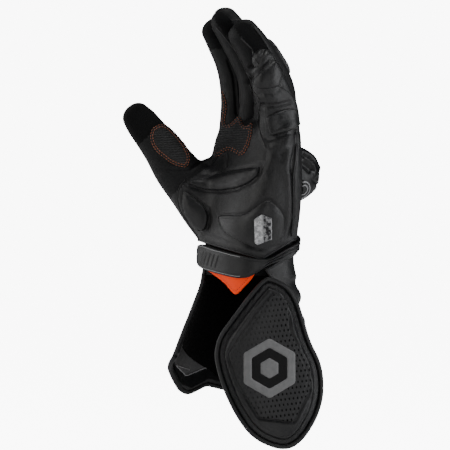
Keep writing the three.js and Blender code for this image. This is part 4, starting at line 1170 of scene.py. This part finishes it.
angles = np.arange(0, 360, 1.2)
heights = np.linspace(BAND_TOP, BAND_BOTTOM, 72)
grid_a, grid_z = np.meshgrid(angles, heights, indexing="ij")
base = arm_points(HAND, SECTION_POWER, grid_a, grid_z, 0.0)
below = hem_height(base @ RIGHT) - grid_z
ribs = 0.45 * np.abs(np.sin(below * math.pi / 2.5)) * smoothstep(0, 2, heights[0] - grid_z)
ribs += 0.12 * np.sin(np.radians(grid_a) * 130 + 2.0 * np.sin(grid_z))
top = arm_points(HAND, SECTION_POWER, grid_a, grid_z, -WALL - 0.75 + ribs)
bottom = arm_points(HAND, SECTION_POWER, grid_a, grid_z, np.full(grid_a.shape, -2 * WALL - 0.2))
band = mesh_object("elastic_wrist_band", *facing_out(*grid_sheet(top, bottom, closed_round=True)))
layout_uv(band, np.vstack([np.stack([grid_a * 0.6, grid_z], -1).reshape(-1, 2)] * 2))
fastened(band, LINING, "textile", "wrist_band")

angles = np.linspace(STRAP[0][0], STRAP[-1][0], 260)
across = np.linspace(0, 1, 34)
edge_top = np.interp(angles, [r[0] for r in STRAP], [r[1] for r in STRAP])
edge_low = np.interp(angles, [r[0] for r in STRAP], [r[2] for r in STRAP])
kernel = np.ones(9) / 9
edge_top, edge_low = (np.convolve(np.pad(e, 4, mode="edge"), kernel, "valid") for e in (edge_top, edge_low))
middle_line = arm_points(HAND, SECTION_POWER, angles, (edge_top + edge_low) / 2, 0.0)
run = np.concatenate([[0], np.cumsum(np.linalg.norm(np.diff(middle_line, axis=0), axis=1))])
rounding = np.sqrt(np.clip(1 - (1 - np.clip(run / 6.0, 0, 1)) ** 2, 0.02, 1))
centre_line, half = (edge_top + edge_low) / 2, (edge_top - edge_low) / 2 * rounding
grid_z = centre_line[:, None] + half[:, None] * (2 * across[None] - 1)
grid_a = np.repeat(angles[:, None], len(across), axis=1)
grid_run = np.repeat(run[:, None], len(across), axis=1)
away = np.minimum(half[:, None] * (1 - np.abs(2 * across[None] - 1)), grid_run + 0.02)
high = STRAP_LOW + (STRAP_HIGH - STRAP_LOW) * (0.35 + 0.65 * shoulder(away, 1.3))
high -= 0.35 * ridge(away, 2.0, 0.5)
slant = grid_run - 0.45 * (grid_z - centre_line[:, None])
bars = smoothstep(0.2, 0.45, np.abs(((slant - 12.0) / 5.2) % 1.0 - 0.5) * 2)
bars = (1 - bars) * smoothstep(4.0, 5.0, away) * (slant > 12.0) * (slant < 38.0)
high += 0.55 * bars
high += 1.2 * (1 - smoothstep(6.0, 15.0, grid_run))
for share_of_width in (0.36, 0.66):
    high -= 0.9 * ridge(across[None], share_of_width, 0.07) * smoothstep(252, 262, grid_a)
top = arm_points(HAND, SECTION_POWER, grid_a, grid_z, high)
bottom = arm_points(HAND, SECTION_POWER, grid_a, grid_z, np.full(grid_a.shape, STRAP_LOW))
strap = mesh_object("rubber_wrist_strap", *facing_out(*grid_sheet(top, bottom)))
layout_uv(strap, np.vstack([np.stack([grid_run, grid_z], -1).reshape(-1, 2)] * 2))
STRAP_RUBBER = leather_material("satin_strap_rubber", (0.004, 0.004, 0.0043), (0.0065, 0.0065, 0.007),
                                0.33, 0.48, cells=1500.0, depth=0.00008)
fastened(strap, STRAP_RUBBER, "rubber", "wrist_strap")
piping = []
for side in (-1, 1):
    line_z = centre_line + side * np.clip(half - 1.5, 0, None)
    stand = np.interp(run, [6, 15], [STRAP_HIGH + 1.0, STRAP_HIGH - 0.2])
    line = arm_points(HAND, SECTION_POWER, angles, line_z, stand)
    piping.append(tube(line[8:96], unit(line * [1, 1, 0])[8:96], 0.26, 0.7, sides=6))

wrist_points, wrist_faces = hand_loft(0.0)
WRIST = BVHTree.FromPolygons([Vector(p) for p in wrist_points], wrist_faces)
ORANGE_LEATHER_PAINTED_GLOW, orange_surface = principled("orange_leather_painted_glow", (0.9, 0.05, 0.004), 0.5)
orange_surface.inputs["Specular IOR Level"].default_value = 0.12
# A painted glow: the orange leather emits light of its own though it is no lamp, keeping its orange deep.
orange_surface.inputs["Emission Color"].default_value = (1.0, 0.06, 0.006, 1.0)
orange_surface.inputs["Emission Strength"].default_value = 0.34
kit = Shader(ORANGE_LEATHER_PAINTED_GLOW.node_tree)
grain = kit.add("Group", {"node_tree": grain_kit.tree})
grain.inputs["Cells"].default_value = 1100.0
kit.set(orange_surface, "Base Color",
        kit.tinted(grain.outputs["Tone"], (0.8, 0.042, 0.003), (0.95, 0.062, 0.006)))
kit.set(orange_surface, "Roughness", kit.spread(grain.outputs["Rub"], 0, 1, 0.42, 0.6))
kit.bumped(orange_surface, grain.outputs["Height"], 0.4, 0.0001)
tab, TAB_TREE = fitted_piece(
    "orange_strap_tab", TAB_OUTLINE,
    lambda away, flat: -0.45 + 0.3 * shoulder(away, 0.8) - 0.12 * ridge(away, 2.1, 0.5),
    tree=WRIST, rounds=1, pitch=0.9, sink=1.9)
fastened(tab, ORANGE_LEATHER_PAINTED_GLOW, "orange", "strap_tab")
joined("strap_edge_lines", piping, PALE_PAINT, "grey")
TAB_SEAM = [(-30, -13.2), (-19, -21.0), (-12.2, -28.6), (-10, -29.8), (-8.4, -28.6), (3.2, -16)]
tab_rows = [laid_row(softened(TAB_SEAM, 1, False), TAB_TREE, 1.9, 0.02, closed=False)]
stitched("dark_tab_stitches", tab_rows, DARK_THREAD, radius=0.22, length=1.2)

# The gauntlet: one leather sheet that runs round the forearm and stays open in front, its edges
# bound, its inside lined with black loop cloth and faced with leather above a matt hem.
CUFF = [
    # height, to the back, to the thumb, depth, width
    (6, 0, -0.5, 59, 82), (-8, 0, -0.5, 59, 81), (-24, 0.5, 0, 64, 87), (-45, -1.5, 1.5, 76, 90),
    (-70, -4, 2.5, 91, 102), (-95, -5.5, 3.5, 104, 115), (-125, -7, 5, 110, 121),
]
CUFF_POWER = 2.5
CUFF_TOP = [(-110, -14), (-95, -9), (-80, -3), (-60, 1), (-40, 2), (0, -1), (50, -9), (90, -12), (160, -12)]
CUFF_LEVELS = [-24, -45, -70]
EDGE_DROP = 6.0
FRONT_EDGE = (140, 153)
LITTLE_EDGE = (-105, -72)
HEM = [(-110, -98), (-40, -108), (0, -112), (40, -113), (70, -109), (84, -105.5), (92, -109), (100, -112.5),
       (108, -109.5), (116, -102), (125, -95), (140, -88), (148, -83), (154, -78)]
FACING_TOP = [(50, -103), (74, -102), (84, -95), (108, -84), (125, -76), (160, -70)]
BINDING_RADIUS = 2.1
LINING_AT, LINING_THICK = -2.9, 1.2


def on_table(rows, at):
    return np.interp(at, [row[0] for row in rows], [row[1] for row in rows])


def cuff_places(share, down, height, drop=0.0):
    """Points of the gauntlet, from its front edge round to the little finger's side."""
    front = FRONT_EDGE[0] + (FRONT_EDGE[1] - FRONT_EDGE[0]) * down
    little = LITTLE_EDGE[0] + (LITTLE_EDGE[1] - LITTLE_EDGE[0]) * down
    degrees = front + (little - front) * share
    knots = np.stack([on_table(CUFF_TOP, degrees) - drop, *[level + 0 * degrees for level in CUFF_LEVELS],
                      on_table(HEM, degrees)])
    place = down * (len(knots) - 1)
    step = np.minimum(place.astype(int), len(knots) - 2)
    low, high = (np.take_along_axis(knots, (step + k)[None], 0)[0] for k in (0, 1))
    z = low + (high - low) * (place - step)
    if callable(height):
        height = height(degrees, z)
    return arm_points(smooth_rows(CUFF, 4), CUFF_POWER, degrees, z, height), degrees, z


def cuff_folds(degrees, z):
    """Soft folds where the leather has been pressed down behind the flap and at the wrist."""
    behind = smoothstep(-112, -70, degrees) * (1 - smoothstep(-35, 30, degrees))
    wrist = smoothstep(-16, -24, z) * (1 - smoothstep(-60, -110, z) * 0.8)
    wave = np.sin((z + 22) * 2 * math.pi / 19.5 + 0.02 * degrees)
    wave = np.sign(wave) * np.abs(wave) ** 0.8
    slow = 0.5 * np.sin(0.05 * z + 0.045 * degrees) + 0.35 * np.sin(0.13 * z - 0.03 * degrees)
    return 1.5 * wave * behind * wrist + slow * wrist


share, down = np.meshgrid(np.linspace(0, 1, 190), np.linspace(0, 1, 84), indexing="ij")
top, degrees, z = cuff_places(share, down, cuff_folds)
bottom = cuff_places(share, down, lambda a, b: cuff_folds(a, b) * 0.6 - WALL)[0]
cuff = mesh_object("leather_gauntlet", *facing_out(*grid_sheet(top, bottom)))
layout_uv(cuff, np.vstack([np.stack([degrees, z], -1).reshape(-1, 2)] * 2))
GAUNTLET_LEATHER = leather_material("gauntlet_leather", (0.005, 0.005, 0.0055), (0.0085, 0.0085, 0.009),
                                    0.32, 0.46, cells=820.0, depth=0.00018)
fastened(cuff, GAUNTLET_LEATHER, "leather", "cuff_shell")


steps = np.linspace(0, 1, 60)
edge_path, _, _ = cuff_places(0 * steps, steps, -1.0, drop=EDGE_DROP)
hem_path, _, _ = cuff_places(steps * 0.985 + 0.012, 0 * steps + 1, -1.0)
edge_out, hem_out = unit(edge_path * [1, 1, 0]), unit(hem_path * [1, 1, 0])
hem_fine = evenly(np.hstack([hem_path, hem_out]), 2.0, closed=False)
for name, path, away, node in (("edge", edge_path, edge_out, "cuff_edge_binding"),
                               ("hem", hem_fine[:, :3], hem_fine[:, 3:], "cuff_hem_binding")):
    binding = joined("gauntlet_" + name + "_binding", [tube(path, away, BINDING_RADIUS, 0.95, sides=14)],
                     RUBBER, "rubber")
    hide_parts(node)

fold_share = np.linspace(0.52, 1.0, 70)
fold_places, _, _ = cuff_places(fold_share, 0 * fold_share, 0.2)
fold_size = 2.2 * np.sqrt(np.clip(1 - ((fold_share - 0.76) / 0.24) ** 2, 0.02, 1))
fold_places = fold_places - UP * 1.5
joined("gauntlet_top_fold", [tube(fold_places, unit(fold_places * [1, 1, 0]), fold_size, 1.0, sides=12)],
       GAUNTLET_LEATHER, "leather")

LOOP, loop_surface = principled("black_loop_cloth", (0.0016, 0.0016, 0.0018), 0.95)
kit = Shader(LOOP.node_tree)
place = kit.add("TexCoord").outputs["Object"]
loops = kit.add("TexVoronoi", Vector=place, Scale=950.0)
pile = kit.add("TexNoise", Vector=place, Scale=160.0, Detail=4.0)
kit.set(loop_surface, "Base Color",
        kit.tinted(pile.outputs["Fac"], (0.001, 0.001, 0.0011), (0.0028, 0.0028, 0.003)))
kit.bumped(loop_surface, loops.outputs["Distance"], 0.7, 0.0006)
loop_surface.inputs["Specular IOR Level"].default_value = 0.1
loop_surface.inputs["Sheen Weight"].default_value = 0.03


def facing_height(degrees):
    return on_table(FACING_TOP, degrees)


def inner_sheet(name, low_at, high_at, span, stand, thick, material):
    """A sheet inside the gauntlet between two heights that change with the angle."""
    degrees, down = np.meshgrid(np.linspace(*span, 150), np.linspace(0, 1, 50), indexing="ij")
    high, low = high_at(degrees), low_at(degrees)
    z = high + (low - high) * down
    top = arm_points(CUFF, CUFF_POWER, degrees, z, np.full(z.shape, stand))
    bottom = arm_points(CUFF, CUFF_POWER, degrees, z, np.full(z.shape, stand - thick))
    piece = mesh_object(name, *facing_out(*grid_sheet(top, bottom)))
    layout_uv(piece, np.vstack([np.stack([degrees, z], -1).reshape(-1, 2)] * 2))
    piece.data.materials.append(material)
    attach(piece, "root")
    return piece, top


def hem_at(degrees, above=4.0):
    return on_table(HEM, degrees) + above


lining, _ = inner_sheet("loop_cloth_lining", lambda a: np.maximum(facing_height(a) + 0.5, hem_at(a) + 1.0)
                        * (a > 50) + hem_at(a) * (a <= 50), lambda a: np.full(a.shape, -20.0),
                        (136, -98), LINING_AT, LINING_THICK, LOOP)
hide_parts("loop_lining")
# The facing leather's pale grey is painted light: much lighter than the other leathers, it stands in for the
# light falling on the inside of the far wall.
FACING_LEATHER_PAINTED_LIGHT = leather_material("facing_leather_painted_light", (0.048, 0.048, 0.049), (0.075, 0.075, 0.076),
                                  0.38, 0.55)
facing, _ = inner_sheet("leather_facing", hem_at, facing_height, (147, 52), LINING_AT + 0.2,
                        LINING_THICK + 0.4, FACING_LEATHER_PAINTED_LIGHT)
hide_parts("cuff_facing")
FACING_TREE = BVHTree.FromPolygons([v.co / MM for v in facing.data.vertices],
                                   [tuple(f.vertices) for f in facing.data.polygons])
FACING_SEAM = [(-63, -82), (-48.8, -98.6), (-28, -90.5)]
middle = np.array([np.mean([np.array(facing.data.vertices[i].co) / MM for i in f.vertices], axis=0)
                   for f in facing.data.polygons])
seam_z = np.interp(middle @ RIGHT, [p[0] for p in FACING_SEAM], [p[1] for p in FACING_SEAM])
facing.data.materials.append(LINING)
facing.data.polygons.foreach_set("material_index", (middle[:, 2] < seam_z).astype(int))
seam_places, seam_normals, _ = laid_row(FACING_SEAM, FACING_TREE, 1.5, 0.0, closed=False)
joined("facing_seam_cord", [tube(seam_places, seam_normals, 0.42, 0.8, sides=6, lift=0.1)],
       PALE_PAINT, "grey")

# The closure flap: a stiff shield of leather that hangs open in front of the gauntlet, with a
# corded edge, a foam pad, a punched rubber panel and a plain six-sided ring printed in grey.
FLAP_OUTLINE = [
    (16.5, -18), (11, -19.5), (-1.5, -34), (-12.5, -49), (-23.5, -64), (-26.5, -78), (-24, -91),
    (-18.5, -107), (-11, -122.5), (-1.5, -136.5), (8.5, -144.5), (22.5, -150), (33.5, -149.5),
    (43.5, -141.5), (53, -126.5), (57.8, -111), (57.8, -95), (55, -82.5), (47.5, -68), (42, -49),
    (38, -36), (31, -25),
]
PANEL_OUTLINE = [
    (19.5, -31), (30, -37), (31.5, -59), (34.5, -66.5), (42, -77), (48.5, -92), (47.5, -103),
    (34.5, -129), (8, -125.5), (-8.5, -98.5), (-15.5, -78), (-6, -62.5), (8, -43.5),
]
EMBLEM_AT = (16.0, -88.0)
EMBLEM_OUTER, EMBLEM_INNER, EMBLEM_CORE = 23.0, 15.5, 8.0


def flap_places(flat, height):
    """Points on the flap's bent mid surface, at a height off it."""
    stand = 41 + 0.1 * (-20 - flat[:, 1]) - (flat[:, 0] - 5) ** 2 / 180 + height
    return np.outer(flat[:, 0], RIGHT) + np.outer(flat[:, 1], UP) + np.outer(stand, OUT)


def flap_piece(name, outline, pitch, low, high, material, slot, node, hole=None):
    """One layer of the flap; high gives its top from the edge distance and the flat place."""
    flat, faces = filled(outline, pitch, hole)
    away = rim_distance(flat, outline)
    if hole is not None:
        away = np.minimum(away, rim_distance(flat, hole))
    top = flap_places(flat, high(away, flat))
    points, body = closed_plate(top, flap_places(flat, np.full(len(flat), low)), faces)
    piece = mesh_object(name, points, body)
    layout_uv(piece, np.vstack([flat, flat]))
    return fastened(piece, material, slot, node)


flap_rim = softened(FLAP_OUTLINE, 2)
bead_line = evenly(moved_in(flap_rim, 2.0), 1.6)
bead_places = flap_places(bead_line, np.full(len(bead_line), 0.9))
bead = joined("flap_corded_edge", [tube(bead_places, np.tile(OUT, (len(bead_line), 1)), 2.0, 1.15, sides=16,
                                        closed=True)], STRAP_RUBBER, "rubber")
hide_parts("flap_piping")
FLAP_LEATHER = leather_material("flap_leather", (0.0045, 0.0045, 0.005), (0.0075, 0.0075, 0.008), 0.28, 0.42,
                                cells=1000.0, depth=0.00012)
leather_rim = moved_in(flap_rim, 3.6)
flap_piece("leather_closure_flap", leather_rim, 1.6, -1.4,
           lambda away, flat: 1.45 - 0.35 * ridge(away, 1.0, 0.8), FLAP_LEATHER, "leather", "closure_flap")
pad_rim = moved_in(flap_rim, 7.4)
panel_rim = softened(evenly(PANEL_OUTLINE, 2.4), 2)


def pad_rise(away, flat):
    """A rounded shoulder, a pressed line, and a raised rib beside the panel."""
    beside = rim_distance(flat, panel_rim)
    out_of_panel = ~inside(flat, panel_rim)
    high = 1.9 + 3.3 * shoulder(away, 2.6) - 0.6 * ridge(away, 3.4, 0.6)
    high += 0.9 * ridge(beside, 2.6, 0.8) * out_of_panel
    return high - 0.5 * ridge(beside, 0.6, 0.8)


pad = flap_piece("leather_flap_pad", pad_rim, 1.1, 1.6, pad_rise, FLAP_LEATHER, "leather", "flap_pad")

# Rows of small slots, every second row set over by half a step. They are darker paint and bump, not
# holes, fade towards the left as a painted highlight where that side shines, and stop at the dark ground
# inside the ring.
punch_kit, given, punch_out = new_group(
    "punched_slots", [("Across", "Float", 3.2), ("Along", "Float", 4.0)], [("Slot", "Float")])
turned = punch_kit.add("Mapping", Vector=punch_kit.add("UVMap").outputs["UV"])
turned.inputs["Rotation"].default_value = (0, 0, math.radians(-6))
turned.inputs["Scale"].default_value = (100.0, 100.0, 1.0)
split = punch_kit.add("SeparateXYZ")
punch_kit.set(split, "0", turned.outputs[0])
row = punch_kit.math("DIVIDE", split.outputs[1], given["Along"])
set_over = punch_kit.math("MULTIPLY", punch_kit.math("MODULO", punch_kit.math("FLOOR", row), 2.0), 0.5)
column = punch_kit.math("ADD", punch_kit.math("DIVIDE", split.outputs[0], given["Across"]), set_over)
from_x = punch_kit.math("SUBTRACT", punch_kit.math("FRACT", column), 0.5)
from_y = punch_kit.math("SUBTRACT", punch_kit.math("FRACT", row), 0.5)
off_x = punch_kit.math("MULTIPLY", from_x, given["Across"])
off_y = punch_kit.math("MULTIPLY", from_y, given["Along"])
wide = punch_kit.math("POWER", punch_kit.math("DIVIDE", off_x, 0.68), 2.0)
long = punch_kit.math("POWER", punch_kit.math("DIVIDE", off_y, 1.05), 2.0)
punch_kit.set(punch_out, "Slot", punch_kit.spread(punch_kit.math("SQRT", punch_kit.math("ADD", wide, long)),
                                                  0.75, 1.1, 1.0, 0.0))
PUNCHED, punched_surface = principled("punched_rubber", (0.013, 0.013, 0.0135), 0.6)
kit = Shader(PUNCHED.node_tree)
slots = kit.add("Group", {"node_tree": punch_kit.tree}).outputs["Slot"]
place = kit.add("TexCoord").outputs["Object"]
speck = kit.add("TexNoise", Vector=place, Scale=1300.0, Detail=4.0)
sweep = kit.add("SeparateXYZ")
kit.set(sweep, "0", kit.add("UVMap").outputs["UV"])
# Painted highlight: the slots' darkness and bump are faded towards the left side, which catches the light.
painted_highlight_fade = kit.spread(kit.math("SUBTRACT", sweep.outputs[0], kit.math("MULTIPLY", sweep.outputs[1], 0.1)),
                   0.06, 0.34, 0.15, 0.85)
off = [kit.math("POWER", kit.math("SUBTRACT", sweep.outputs[k], EMBLEM_AT[k] / 100.0), 2.0) for k in (0, 1)]
ground = kit.spread(kit.math("SQRT", kit.math("ADD", *off)), 0.15, 0.17, 0.6, 0.0)
slots = kit.math("MULTIPLY", slots, kit.spread(ground, 0.0, 0.5, 1.0, 0.0))
darker = kit.math("MAXIMUM", kit.math("MULTIPLY", slots, painted_highlight_fade), ground)
kit.set(punched_surface, "Base Color", kit.tinted(darker, (0.0105, 0.0105, 0.011), (0.0003, 0.0003, 0.0004)))
kit.set(punched_surface, "Roughness", kit.spread(speck.outputs["Fac"], 0.3, 0.7, 0.42, 0.6))
kit.set(punched_surface, "Specular IOR Level", kit.spread(darker, 0.0, 1.0, 0.5, 0.0))
relief = kit.math("SUBTRACT", kit.math("MULTIPLY", speck.outputs["Fac"], 0.12),
                  kit.math("MULTIPLY", slots, painted_highlight_fade))
kit.bumped(punched_surface, relief, 0.8, 0.0008)
flap_piece("punched_flap_panel", panel_rim, 1.1, 5.2,
           lambda away, flat: 5.45 + 1.3 * shoulder(away, 0.9) - 0.7 * ridge(away, 2.4, 0.5),
           PUNCHED, "rubber", "flap_panel")

GREY_PRINT, grey_surface = principled("grey_print", (0.17, 0.17, 0.172), 0.6)
kit = Shader(GREY_PRINT.node_tree)
wear_and_painted_shade = kit.add("TexNoise", Vector=kit.add("TexCoord").outputs["Object"], Scale=160.0, Detail=6.0,
               Roughness=0.7)
kit.set(grey_surface, "Base Color", kit.tinted(kit.spread(wear_and_painted_shade.outputs["Fac"], 0.35, 0.65, 0, 1),
                                               (0.15, 0.15, 0.152), (0.195, 0.195, 0.197)))
kit.set(grey_surface, "Roughness", kit.spread(wear_and_painted_shade.outputs["Fac"], 0.3, 0.7, 0.5, 0.7))


def six_sided(radius):
    turns = 2 * math.pi * (np.arange(6) + 0.5) / 6
    corners = np.stack([EMBLEM_AT[0] + radius * np.cos(turns), EMBLEM_AT[1] + radius * np.sin(turns)], 1)
    return softened(evenly(corners, radius / 5), 2)


flap_piece("grey_emblem_ring", six_sided(EMBLEM_OUTER), 1.2, 6.3,
           lambda away, flat: 6.7 + 0.55 * shoulder(away, 0.8), GREY_PRINT, "grey", "flap_emblem_ring",
           hole=six_sided(EMBLEM_INNER))
flap_piece("grey_emblem_core", six_sided(EMBLEM_CORE), 1.2, 6.3,
           lambda away, flat: 6.7 + 0.55 * shoulder(away, 0.8), GREY_PRINT, "grey", "flap_emblem_core")
